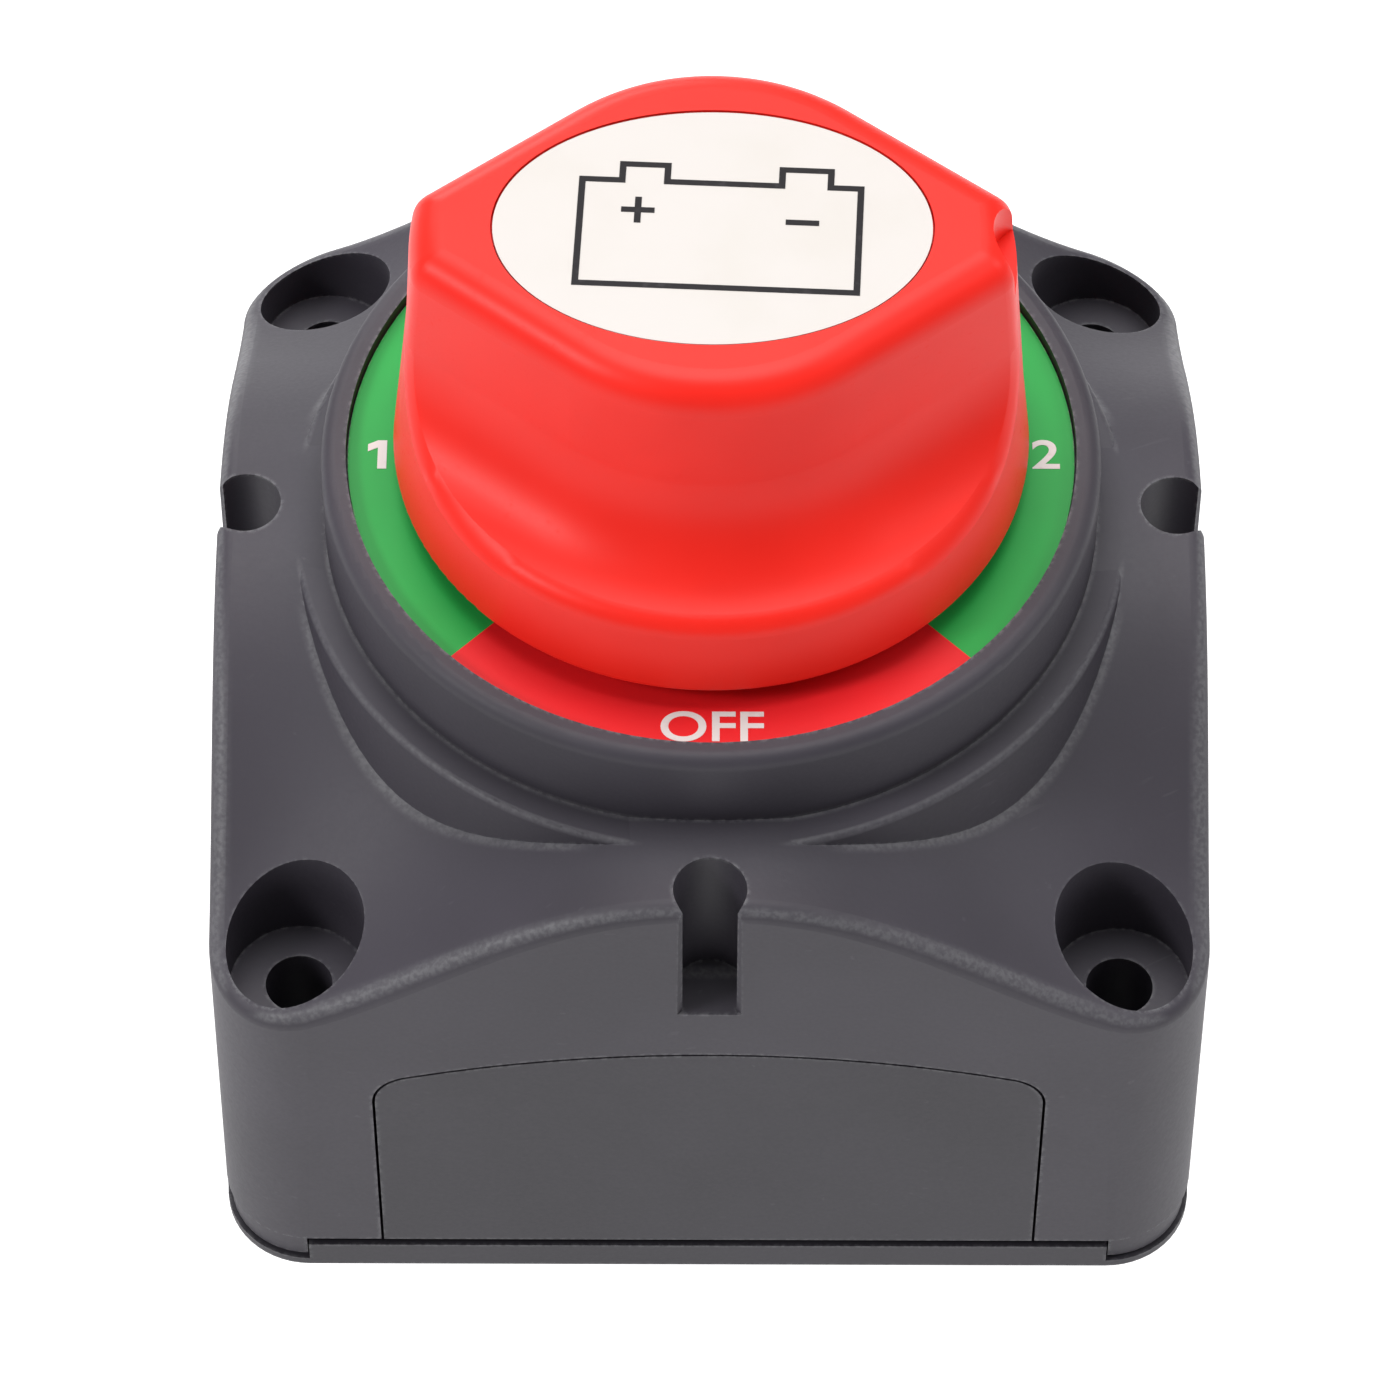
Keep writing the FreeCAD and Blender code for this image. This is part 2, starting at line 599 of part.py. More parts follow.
def knob_blank():
    """Skirt and tapering grip with all their rounded edges."""
    skirt = cone(SKIRT_R_LOW, SKIRT_R_TOP, KNOB_BOTTOM_Z, SKIRT_TOP_Z)
    grip = cone(SKIRT_R_TOP, TIP_R_TOP, SKIRT_TOP_Z, KNOB_TOP_Z)
    body = fused([skirt, grip])
    cutter = grip_cutter()
    for side in (0, 180):
        body = body.cut(turned(cutter, side))
    tips = [
        edge for edge in body.Edges
        if edge.BoundBox.ZMax > KNOB_TOP_Z - 0.01 and edge.BoundBox.ZLength > 1
    ]
    body = body.makeFillet(TIP_EDGE_R, tips)
    return body.makeFillet(GRIP_EDGE_R, edges_at(body, KNOB_TOP_Z))


def ellipse_prism(grow, bottom, top):
    curve = Part.Ellipse(point(0, 0, bottom), LABEL_A + grow, LABEL_B + grow)
    return Part.Face(Part.Wire(curve.toShape())).extrude(UP * (top - bottom))


def make_knob():
    body = knob_blank()
    body = body.makeFillet(SKIRT_EDGE_R, edges_at(body, KNOB_BOTTOM_Z))
    hollow_top = KNOB_TOP_Z - LABEL_THICK - LABEL_SINK - WALL
    skirt_ceiling = SKIRT_TOP_Z - SKIRT_WALL
    body = body.cut(cylinder(SKIRT_R_TOP - SKIRT_WALL, 0, skirt_ceiling))
    socket_r = STEM_R + STEM_FIT + SOCKET_WALL
    inside = grip_prism(GRIP_WALL, skirt_ceiling - 1, hollow_top)
    body = body.cut(inside.cut(cylinder(socket_r, 0, hollow_top)))
    boss = cylinder(socket_r, SOCKET_BOTTOM_Z, hollow_top)
    body = fused([body, boss])
    body = body.cut(double_flat(STEM_R + STEM_FIT, STEM_FLAT + STEM_FIT, 0, SOCKET_TOP_Z))
    notch_x = TIP_R_TOP + NOTCH_OUT
    notch = cylinder(NOTCH_R, KNOB_TOP_Z - NOTCH_DEPTH, KNOB_TOP_Z + 1, notch_x, 0)
    body = body.cut(notch)
    seat = ellipse_prism(LABEL_GAP, KNOB_TOP_Z - LABEL_THICK - LABEL_SINK, KNOB_TOP_Z + 1)
    return body.cut(seat)


def make_knob_label():
    top = KNOB_TOP_Z - LABEL_SINK
    return ellipse_prism(0, top - LABEL_THICK, top)


# --- rotor ---------------------------------------------------------------------------
def detent_notch(degrees):
    depth_r = ROTOR_R - DETENT_DEPTH
    outside = ROTOR_R + 1
    spread = DETENT_HALF * (outside - depth_r) / DETENT_DEPTH
    outline = Part.makePolygon([
        point(depth_r, 0, ROTOR_BOTTOM_Z), point(outside, spread, ROTOR_BOTTOM_Z),
        point(outside, -spread, ROTOR_BOTTOM_Z), point(depth_r, 0, ROTOR_BOTTOM_Z),
    ])
    return turned(Part.Face(outline).extrude(UP * ROTOR_THICK), degrees)


def spring_places():
    return [polar(ROTOR_R - SPRING_EDGE, side * SPRING_DEG) for side in (-1, 1)]


def make_rotor():
    """Stem, journal, notched disc, two drivers for the bridge and a tail pin."""
    disc = cylinder(ROTOR_R, ROTOR_BOTTOM_Z, ROTOR_TOP_Z)
    for step in range(NOTCH_COUNT):
        disc = disc.cut(detent_notch(360 / NOTCH_COUNT * step))
    for place in spring_places():
        hole = cylinder(SPRING_R + SPRING_GAP, 0, ROTOR_BOTTOM_Z + SPRING_POCKET, place.x, place.y)
        disc = disc.cut(hole)
    journal = cylinder(JOURNAL_R, ROTOR_TOP_Z, HUB_TOP_Z)
    groove_half = SEAL_R + GROOVE_SPARE
    groove = cylinder(JOURNAL_R + 1, SEAL_Z - groove_half, SEAL_Z + groove_half)
    groove = groove.cut(cylinder(SEAL_CENTRE_R - SEAL_R, 0, HUB_TOP_Z))
    journal = journal.cut(groove)
    stem = double_flat(STEM_R, STEM_FLAT, HUB_TOP_Z, STEM_TOP_Z)
    stem = stem.makeChamfer(STEM_CHAMFER, edges_at(stem, STEM_TOP_Z))
    tail = cylinder(TAIL_R, BASE_TOP_Z - TAIL_DEPTH, ROTOR_BOTTOM_Z)
    start = BRIDGE_HALF_DEG + DRIVER_GAP_DEG
    drivers = [
        sector(BRIDGE_HUB_R + DRIVER_CLEAR, DRIVER_R_OUT, low, low + DRIVER_DEG,
               BRIDGE_TOP_Z - DRIVER_LAP, ROTOR_BOTTOM_Z)
        for low in (start, -start - DRIVER_DEG)
    ]
    return fused([disc, journal, stem, tail] + drivers)


def make_shaft_seal():
    return Part.makeTorus(SEAL_CENTRE_R, SEAL_R, point(0, 0, SEAL_Z))


def make_thrust_washer():
    ring = cylinder(THRUST_R, ROTOR_TOP_Z, ROTOR_TOP_Z + THRUST_THICK)
    return ring.cut(cylinder(BORE_R, ROTOR_TOP_Z, ROTOR_TOP_Z + THRUST_THICK))


def make_detent_springs():
    """Two bent strips, each with its ends on the chamber wall and a bump in a notch."""
    bottom = ROTOR_TOP_Z - (ROTOR_THICK + LEAF_HEIGHT) / 2
    end_r = CHAMBER_R - SLIDE_GAP
    foot_r = ROTOR_R + 3 * LEAF_THICK
    bump_r = ROTOR_R - DETENT_DEPTH + LEAF_REST + LEAF_THICK / 2
    outer = [
        polar(end_r, -LEAF_END_DEG, bottom), polar(foot_r, -LEAF_FOOT_DEG, bottom),
        polar(bump_r + LEAF_THICK, 0, bottom), polar(foot_r, LEAF_FOOT_DEG, bottom),
        polar(end_r, LEAF_END_DEG, bottom),
    ]
    inner = [
        polar(end_r - LEAF_THICK, LEAF_END_DEG, bottom),
        polar(foot_r - LEAF_THICK, LEAF_FOOT_DEG, bottom), polar(bump_r, 0, bottom),
        polar(foot_r - LEAF_THICK, -LEAF_FOOT_DEG, bottom),
        polar(end_r - LEAF_THICK, -LEAF_END_DEG, bottom),
    ]
    outline = Part.makePolygon(outer + inner + outer[:1])
    leaf = Part.Face(outline).extrude(UP * LEAF_HEIGHT)
    return Part.makeCompound([turned(leaf, angle) for angle in LEAF_ANGLES])


# --- contacts ------------------------------------------------------------------------
def make_contact_bridge():
    """Fan-shaped copper plate with a foot on the common ring and one on the pads."""
    foot_top = BRIDGE_BOTTOM_Z + BRIDGE_FOOT
    half = BRIDGE_HALF_DEG
    pieces = [
        cylinder(BRIDGE_HUB_R, foot_top, BRIDGE_TOP_Z),
        sector(TAIL_R, BRIDGE_R, -half, half, foot_top, BRIDGE_TOP_Z),
        cylinder(BRIDGE_HUB_R, BRIDGE_BOTTOM_Z, foot_top),
        sector(PAD_R_IN + BRIDGE_FOOT_START, BRIDGE_R, -half, half, BRIDGE_BOTTOM_Z, foot_top),
    ]
    return fused(pieces).cut(cylinder(TAIL_R + BRIDGE_BORE_GAP, 0, BRIDGE_TOP_Z + 1))


def spring_tube(radius, bottom, top, x=0.0, y=0.0):
    tube = cylinder(radius, bottom, top, x, y)
    return tube.cut(cylinder(radius - SPRING_WIRE, bottom, top, x, y))


def make_contact_springs():
    """Sleeves that hold the room of three coil springs above the bridge."""
    pocket = ROTOR_BOTTOM_Z + SPRING_POCKET
    tubes = [
        spring_tube(SPRING_R, BRIDGE_TOP_Z, pocket, place.x, place.y)
        for place in spring_places()
    ]
    tubes.append(spring_tube(TAIL_R + TAIL_SPRING_PLAY + SPRING_WIRE, BRIDGE_TOP_Z, ROTOR_BOTTOM_Z))
    return Part.makeCompound(tubes)


def stud_head_room(x, y, spare):
    half = STUD_R + STUD_HEAD_RIM + spare
    return block(x - half, x + half, y - half, y + half, BASE_TOP_Z - STUD_HEAD_THICK, BASE_TOP_Z)


def make_contact_base():
    """Insulating plate that closes the chamber, with a three-armed barrier below."""
    body = rounded_prism(BASE_HALF, BASE_CORNER_R, BASE_BOTTOM_Z, BASE_TOP_Z)
    arm = block(0, BARRIER_R, -BARRIER_THICK / 2, BARRIER_THICK / 2,
                BASE_BOTTOM_Z - BARRIER_DROP, BASE_BOTTOM_Z)
    side_deg = math.degrees(math.atan2(STUD_SIDE_Y, STUD_SIDE_X))
    lower = (side_deg - 90) / 2
    barriers = [turned(arm, degrees) for degrees in (90, lower, 180 - lower)]
    body = fused([body] + barriers)
    for x, y in STUDS.values():
        body = body.cut(stud_head_room(x, y, STUD_GAP))
        body = body.cut(cylinder(STUD_R + STUD_GAP, 0, BASE_TOP_Z, x, y))
    for x, y in corners(SCREW_AT):
        body = body.cut(cylinder(SCREW_R + STUD_GAP, 0, BASE_TOP_Z, x, y))
    tail_room = BASE_TOP_Z - TAIL_DEPTH - SLIDE_GAP
    return body.cut(cylinder(TAIL_R + RUNNING_GAP, tail_room, BASE_TOP_Z))


def make_contact_pad(start):
    sweep = 90 - PAD_GAP_DEG / 2 - PAD_START_DEG
    return sector(PAD_R_IN, PAD_R_OUT, start, start + sweep, BASE_TOP_Z, PAD_TOP_Z)


def make_common_contact():
    ring = cylinder(COMMON_R, BASE_TOP_Z, PAD_TOP_Z)
    end_y = -math.sqrt(PAD_R_OUT ** 2 - COMMON_ARM_HALF ** 2)
    arm = block(-COMMON_ARM_HALF, COMMON_ARM_HALF, end_y, 0, BASE_TOP_Z, PAD_TOP_Z)
    hole = cylinder(TAIL_R + BRIDGE_BORE_GAP, BASE_TOP_Z, PAD_TOP_Z)
    return fused([ring, arm]).cut(hole)


# --- studs and fasteners -------------------------------------------------------------
def make_stud(x, y):
    head = stud_head_room(x, y, 0)
    shank = cylinder(STUD_R, STUD_END_Z, BASE_TOP_Z - STUD_HEAD_THICK, x, y)
    shank = shank.makeChamfer(STUD_CHAMFER, edges_at(shank, STUD_END_Z))
    return fused([head, shank])


def washer(radius, bottom, top, x, y):
    return cylinder(radius, bottom, top, x, y).cut(cylinder(STUD_R + STUD_GAP, bottom, top, x, y))


def make_flat_washers():
    low = BASE_BOTTOM_Z - WASHER_THICK
    return Part.makeCompound([washer(WASHER_R, low, BASE_BOTTOM_Z, *at) for at in STUDS.values()])


def make_lock_washers():
    """Split spring washers; the slit faces away from the knob's axis."""
    top = BASE_BOTTOM_Z - WASHER_THICK
    bottom = top - LOCK_THICK
    outer = STUD_R + LOCK_RIM
    rings = []
    for x, y in STUDS.values():
        slit = block(STUD_R - 1, outer + 1, -LOCK_SLIT / 2, LOCK_SLIT / 2, bottom, top)
        slit = turned(slit, math.degrees(math.atan2(y, x)))
        slit.translate(point(x, y))
        rings.append(washer(outer, bottom, top, x, y).cut(slit))
    return Part.makeCompound(rings)


def make_nuts():
    top = BASE_BOTTOM_Z - WASHER_THICK - LOCK_THICK
    bottom = top - NUT_THICK
    corner_r = (STUD_R + NUT_WALL) * 2 / math.sqrt(3)
    nuts = []
    for x, y in STUDS.values():
        outline = [polar(corner_r, 60 * step + 30) + point(x, y, bottom) for step in range(7)]
        nut = Part.Face(Part.makePolygon(outline)).extrude(UP * NUT_THICK)
        bevel = Part.makeCone(corner_r - NUT_CHAMFER, corner_r + NUT_THICK * 2 - NUT_CHAMFER,
                              NUT_THICK, point(x, y, bottom))
        hole = cylinder(STUD_R + STUD_GAP / 2, bottom, top, x, y)
        nuts.append(nut.common(bevel).cut(hole))
    return Part.makeCompound(nuts)


def make_base_screws():
    screws = []
    low = BASE_BOTTOM_Z - SCREW_HEAD_THICK
    recess = block(-CROSS_HALF, CROSS_HALF, -CROSS_WIDTH / 2, CROSS_WIDTH / 2,
                   low, low + CROSS_DEPTH)
    for x, y in corners(SCREW_AT):
        head = cylinder(SCREW_HEAD_R, low, BASE_BOTTOM_Z)
        head = head.makeFillet(SCREW_HEAD_EDGE_R, edges_at(head, low))
        shank = cylinder(SCREW_R, BASE_BOTTOM_Z, BASE_BOTTOM_Z + SCREW_LENGTH)
        screw = fused([head, shank]).cut(recess).cut(turned(recess, 90))
        screw.translate(point(x, y))
        screws.append(screw)
    return Part.makeCompound(screws)


def all_nodes():
    """Every piece of the switch under the name that a person would use."""
    plate = make_side_plate()
    nodes = {
        "housing": make_housing(),
        "back_cover": make_back_cover(),
        "side_plate_front": plate,
        "side_plate_right": turned(plate, 90),
        "side_plate_rear": turned(plate, 180),
        "side_plate_left": turned(plate, 270),
        "dial_label": make_dial_label(),
        "knob": make_knob(),
        "knob_label": make_knob_label(),
        "rotor": make_rotor(),
        "shaft_seal": make_shaft_seal(),
        "thrust_washer": make_thrust_washer(),
        "detent_springs": make_detent_springs(),
        "contact_bridge": make_contact_bridge(),
        "contact_springs": make_contact_springs(),
        "contact_base": make_contact_base(),
        "contact_pad_1": make_contact_pad(90 + PAD_GAP_DEG / 2),
        "contact_pad_2": make_contact_pad(PAD_START_DEG),
        "common_contact": make_common_contact(),
        "flat_washers": make_flat_washers(),
        "lock_washers": make_lock_washers(),
        "terminal_nuts": make_nuts(),
        "base_screws": make_base_screws(),
    }
    for name, (x, y) in STUDS.items():
        nodes[name] = make_stud(x, y)
    return nodes


def main():
    os.makedirs("parts", exist_ok=True)
    for name, shape in all_nodes().items():
        shape.exportStep("parts/" + name + ".step")
        print(name, "solids", len(shape.Solids), "valid", shape.isValid(),
              "volume", round(shape.Volume, 1))


main()
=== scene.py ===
"""Looks of a four-position marine battery switch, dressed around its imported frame.

Each sub-assembly is a class that builds the pieces the frame leaves plain and gives every
piece its finish. Lengths are in metres; a name that ends in _mm is in millimetres.
"""
import logging
import math
from collections.abc import Callable, Mapping, Sequence
from dataclasses import dataclass, field
from enum import Enum
from typing import Any

import bmesh
import bpy
from mathutils import Matrix, Vector


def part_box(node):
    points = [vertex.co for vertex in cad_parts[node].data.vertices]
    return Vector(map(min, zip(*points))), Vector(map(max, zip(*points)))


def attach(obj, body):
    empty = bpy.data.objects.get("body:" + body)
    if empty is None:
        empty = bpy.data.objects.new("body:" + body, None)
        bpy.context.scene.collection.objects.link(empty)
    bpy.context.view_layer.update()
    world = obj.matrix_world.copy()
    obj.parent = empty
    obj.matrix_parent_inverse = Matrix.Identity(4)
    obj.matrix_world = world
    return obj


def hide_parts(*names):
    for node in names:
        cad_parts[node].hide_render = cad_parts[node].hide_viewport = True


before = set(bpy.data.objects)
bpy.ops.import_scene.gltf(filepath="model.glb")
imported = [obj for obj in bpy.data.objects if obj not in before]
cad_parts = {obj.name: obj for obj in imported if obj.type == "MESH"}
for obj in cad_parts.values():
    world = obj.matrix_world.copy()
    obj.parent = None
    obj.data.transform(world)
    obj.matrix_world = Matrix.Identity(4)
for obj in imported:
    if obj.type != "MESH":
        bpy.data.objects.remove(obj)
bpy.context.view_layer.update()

MM = 0.001
LOG = logging.getLogger("battery_switch")

Colour = tuple[float, float, float]
Point = tuple[float, float, float]
ORIGIN: Point = (0.0, 0.0, 0.0)

# how near two places lie when they count as one: in a test, as doubles, and when wound
TOUCHING, DOUBLES, WELD = 1e-7, 0.5e-6, 1e-6


# ------------------------------------------------------------------ shader arithmetic
class Signal:
    """A value that flows between shader nodes, with arithmetic written as in Python."""

    def __init__(self, paint: "Paint", socket: bpy.types.NodeSocket) -> None:
        """Wraps one output socket of a node in the given paint."""
        self.paint = paint
        self.socket = socket

    def maths(self, operation: str, *values: "Feed") -> "Signal":
        """Adds a Math node.

        Args:
            operation: the Math node's operation.
            values: what its sockets take, in order.

        Returns:
            The node's result.
        """
        return self.paint.node("ShaderNodeMath", {"operation": operation},
                               dict(enumerate(values)))

    def __add__(self, other: "Feed") -> "Signal":
        """Sum."""
        return self.maths("ADD", self, other)

    def __radd__(self, other: "Feed") -> "Signal":
        """Sum, with the plain number first."""
        return self.maths("ADD", other, self)

    def __sub__(self, other: "Feed") -> "Signal":
        """Difference."""
        return self.maths("SUBTRACT", self, other)

    def __rsub__(self, other: "Feed") -> "Signal":
        """Difference, with the plain number first."""
        return self.maths("SUBTRACT", other, self)

    def __mul__(self, other: "Feed") -> "Signal":
        """Product."""
        return self.maths("MULTIPLY", self, other)

    def __truediv__(self, other: "Feed") -> "Signal":
        """Quotient."""
        return self.maths("DIVIDE", self, other)

    def __neg__(self) -> "Signal":
        """The same value with its sign turned."""
        return self.maths("MULTIPLY", self, -1.0)

    def __abs__(self) -> "Signal":
        """Size without sign."""
        return self.maths("ABSOLUTE", self)

    def __lt__(self, other: "Feed") -> "Signal":
        """1 where the value is below the other, else 0."""
        return self.maths("LESS_THAN", self, other)

    def __or__(self, other: "Feed") -> "Signal":
        """The larger of two masks."""
        return self.maths("MAXIMUM", self, other)

    def root(self) -> "Signal":
        """Square root."""
        return self.maths("SQRT", self)

    def rise(self, low: float, high: float) -> "Signal":
        """Turns the stretch from low to high into a soft climb from 0 to 1."""
        settings = {"interpolation_type": "SMOOTHSTEP"}
        sockets = {"Value": self, "From Min": low, "From Max": high}
        return self.paint.node("ShaderNodeMapRange", settings, sockets, "Result")


Feed = Signal | float | int | Sequence[float]


class Paint:
    """One material while its nodes are being laid out."""

    def __init__(self, name: str) -> None:
        """Starts an empty material of that name."""
        self.material = bpy.data.materials.new(name)
        self.material.use_nodes = True
        self.tree = self.material.node_tree
        self.tree.nodes.clear()

    def node(self, kind: str, settings: Mapping[str, Any], sockets: Mapping[int | str, Feed],
             output: int | str = 0) -> Signal:
        """Adds any node.

        Args:
            kind: the node's type.
            settings: its properties, set first.
            sockets: values or links for its inputs, by place, name or identifier.
            output: the output to return, by place, name or identifier.

        Returns:
            The chosen output.
        """
        made = self.tree.nodes.new(kind)
        for key, value in settings.items():
            setattr(made, key, value)
        for key, value in sockets.items():
            socket = self._socket(made.inputs, key)
            if isinstance(value, Signal):
                self.tree.links.new(value.socket, socket)
            else:
                socket.default_value = value
        return Signal(self, self._socket(made.outputs, output))

    @staticmethod
    def _socket(sockets: Any, key: int | str) -> bpy.types.NodeSocket:
        """Finds a socket by its place, its identifier or its name."""
        if isinstance(key, int):
            return sockets[key]
        return next((s for s in sockets if s.identifier == key), None) or sockets[key]

    def place(self, turn: Point = ORIGIN, stretch: Point = (1.0, 1.0, 1.0)) -> Signal:
        """Object coordinates, turned and stretched.

        Args:
            turn: the pattern's turn about each axis, in degrees.
            stretch: how much longer the pattern is along each axis.

        Returns:
            The coordinates as a vector.
        """
        found = self.node("ShaderNodeTexCoord", {}, {}, "Object")
        turns = tuple(math.radians(angle) for angle in turn)
        sockets = {"Vector": found, "Rotation": turns, "Scale": stretch}
        return self.node("ShaderNodeMapping", {"vector_type": "TEXTURE"}, sockets)

    def noise(self, size_mm: float, detail: float = 2.0, at: Signal | None = None) -> Signal:
        """Cloudy noise whose blots are about size_mm across."""
        sockets = {"Vector": at or self.place(), "Scale": 1.0 / (size_mm * MM), "Detail": detail}
        return self.node("ShaderNodeTexNoise", {}, sockets, "Fac")

    def cells(self, size_mm: float, at: Signal | None = None) -> Signal:
        """Distance to the nearest of scattered points about size_mm apart."""
        sockets = {"Vector": at or self.place(), "Scale": 1.0 / (size_mm * MM)}
        return self.node("ShaderNodeTexVoronoi", {"feature": "F1"}, sockets, "Distance")

    def parts(self, vector: Signal) -> tuple[Signal, Signal, Signal]:
        """The x, y and z of a vector."""
        made = self.node("ShaderNodeSeparateXYZ", {}, {0: vector})
        outputs = made.socket.node.outputs
        return Signal(self, outputs[0]), Signal(self, outputs[1]), Signal(self, outputs[2])

    def edges(self, radius_mm: float) -> Signal:
        """Near 0 on open faces, and climbs where the surface turns within radius_mm."""
        rounded = self.node("ShaderNodeBevel", {"samples": 6}, {"Radius": radius_mm * MM})
        facing = self.node("ShaderNodeNewGeometry", {}, {}, "Normal")
        sockets = {0: rounded, 1: facing}
        same = self.node("ShaderNodeVectorMath", {"operation": "DOT_PRODUCT"}, sockets, "Value")
        return 1.0 - same

    def blend(self, share: Feed, first: Feed, second: Feed) -> Signal:
        """Colour that goes from first to second as share goes from 0 to 1."""
        first, second = (c if isinstance(c, Signal) else (*c, 1.0) for c in (first, second))
        sockets = {"Factor_Float": share, "A_Color": first, "B_Color": second}
        return self.node("ShaderNodeMix", {"data_type": "RGBA"}, sockets, "Result_Color")

    def bump(self, height: Signal, depth_mm: float, under: Signal | None = None) -> Signal:
        """Normal of a surface whose height varies by depth_mm, over another if given."""
        sockets: dict[int | str, Feed] = {"Height": height, "Distance": depth_mm * MM}
        if under is not None:
            sockets["Normal"] = under
        return self.node("ShaderNodeBump", {}, sockets, "Normal")

    def finish(self, **sockets: Feed) -> bpy.types.Material:
        """Ends the material in a Principled shader.

        Args:
            sockets: its inputs, with spaces in their names written as underscores.

        Returns:
            The finished material.
        """
        named = {key.replace("_", " "): value for key, value in sockets.items()}
        named = {k: (*v, 1.0) if k.endswith("Color") and isinstance(v, tuple) else v
                 for k, v in named.items()}
        shader = self.node("ShaderNodeBsdfPrincipled", {}, named)
        output = self.tree.nodes.new("ShaderNodeOutputMaterial")
        self.tree.links.new(shader.socket, output.inputs["Surface"])
        return self.material


# ------------------------------------------------------------------ finishes
@dataclass(frozen=True)
class MouldedPlastic:
    """Matt plastic from a spark-eroded mould, rubbed paler along its edges."""

    name: str
    tone: Colour
    drift: float = 0.10
    worn_and_highlight_tone: Colour = (0.20, 0.20, 0.21)
    grain_mm: float = 0.30
    grain_depth_mm: float = 0.012
    roughness: float = 0.56
    wear_radius_mm: float = 0.7
    pale_wear_and_highlight: float = 0.55

    def paint(self) -> bpy.types.Material:
        """Lays out the material."""
        p = Paint(self.name)
        cloud = p.noise(16.0, 3.0)
        grain = p.noise(self.grain_mm, 3.0)
        pits = p.cells(self.grain_mm * 2.2)
        lighter = tuple(c * (1.0 + self.drift) for c in self.tone)
        darker = tuple(c * (1.0 - self.drift) for c in self.tone)
        tone = p.blend(cloud.rise(0.3, 0.7), darker, lighter)
        paler_edges = self.rubs_and_highlights(p)
        scuff_at = p.place(turn=(0.0, 0.0, 28.0), stretch=(22.0, 1.0, 1.0))
        scuffs = p.noise(0.6, 1.0, scuff_at).rise(0.70, 0.76) * p.noise(9.0, 2.0).rise(0.5, 0.66)
        dust = p.noise(1.1, 6.0).rise(0.70, 0.78)
        # Pale blend of scuffs, dust and rubbed edges; on the housing the rubbed edges also hold
        # lines of painted highlight.
        pale = paler_edges * self.pale_wear_and_highlight | scuffs * 0.07 | dust * 0.10
        colour = p.blend(pale, tone, self.worn_and_highlight_tone)
        rough = self.roughness + (grain - 0.5) * 0.14 - paler_edges * 0.10
        relief = p.bump(grain * 0.6 + pits * 0.4, self.grain_depth_mm)
        return p.finish(Base_Color=colour, Roughness=rough, Normal=relief,
                        Specular_IOR_Level=0.45)

    # Rubbed edge wear here; the housing's version adds lines of painted highlight.
    def rubs_and_highlights(self, p: Paint) -> Signal:
        """How far each place is rubbed pale."""
        return p.edges(self.wear_radius_mm).rise(0.04, 0.30) * p.noise(0.42, 5.0).rise(0.40, 0.62)


@dataclass(frozen=True, kw_only=True)
class HousingPlastic(MouldedPlastic):
    """The same plastic with pale lines round the housing's collar, ledge and rim, partly rubbed
    wear and partly painted highlight.
    """

    collar_mm: float
    ledge_mm: float
    ledge_z_mm: float
    half_mm: float
    flare: float = 0.166
    foot_width_mm: float = 0.40
    foot_wear_and_highlight: float = 0.55
    lip_width_mm: float = 0.34
    lip_inset_mm: float = 0.15
    lip_wear_and_highlight: float = 0.45
    crease_fade_mm: tuple[float, float] = (0.15, 0.75)
    crease_wear_and_highlight: float = 0.70
    rim_inset_mm: tuple[float, float] = (1.5, 0.7)
    rim_wear_and_highlight: float = 0.75

    def rubs_and_highlights(self, p: Paint) -> Signal:
        """How far each place is rubbed pale, with the four long lines of wear and painted
        highlight added.
        """
        x, y, z = (part / MM for part in p.parts(p.place()))
        _, _, up = p.parts(p.node("ShaderNodeNewGeometry", {}, {}, "Normal"))
        from_axis = (x * x + y * y).root()
        below = self.ledge_z_mm - z
        foot = self._line(from_axis - self.collar_mm, below, self.foot_width_mm)
        lip = self._line(from_axis - self.ledge_mm + self.lip_inset_mm,
                         below - self.lip_inset_mm, self.lip_width_mm)
        past_cone = from_axis - self.ledge_mm - below * self.flare
        # Crease and rim lines show only on faces tilted partway up: painted highlight where those
        # faces catch light, with some rubbed wear.
        crease = (1.0 - abs(past_cone).rise(*self.crease_fade_mm)) * up.rise(0.45, 0.75)
        crease = crease * below.rise(0.5, 1.5)
        start, full = (self.half_mm - inset for inset in self.rim_inset_mm)
        rim = (abs(x) | abs(y)).rise(start, full) * up.rise(0.35, 0.65)
        rim = rim * (1.0 - up.rise(0.74, 0.95))
        # The four lines are partly rubbed wear and partly painted highlight along the small
        # fillets.
        lines = (foot * self.foot_wear_and_highlight | lip * self.lip_wear_and_highlight
                 | crease * self.crease_wear_and_highlight | rim * self.rim_wear_and_highlight)
        speckle = p.noise(0.35, 5.0).rise(0.34, 0.66) * 0.55 + 0.45
        return super().rubs_and_highlights(p) | lines * speckle

    @staticmethod
    def _line(outwards: Signal, down: Signal, width_mm: float) -> Signal:
        """A soft line round the axis, at no distance outwards and none down."""
        apart = (outwards * outwards + down * down).root()
        return 1.0 - apart.rise(0.2 * width_mm, width_mm)


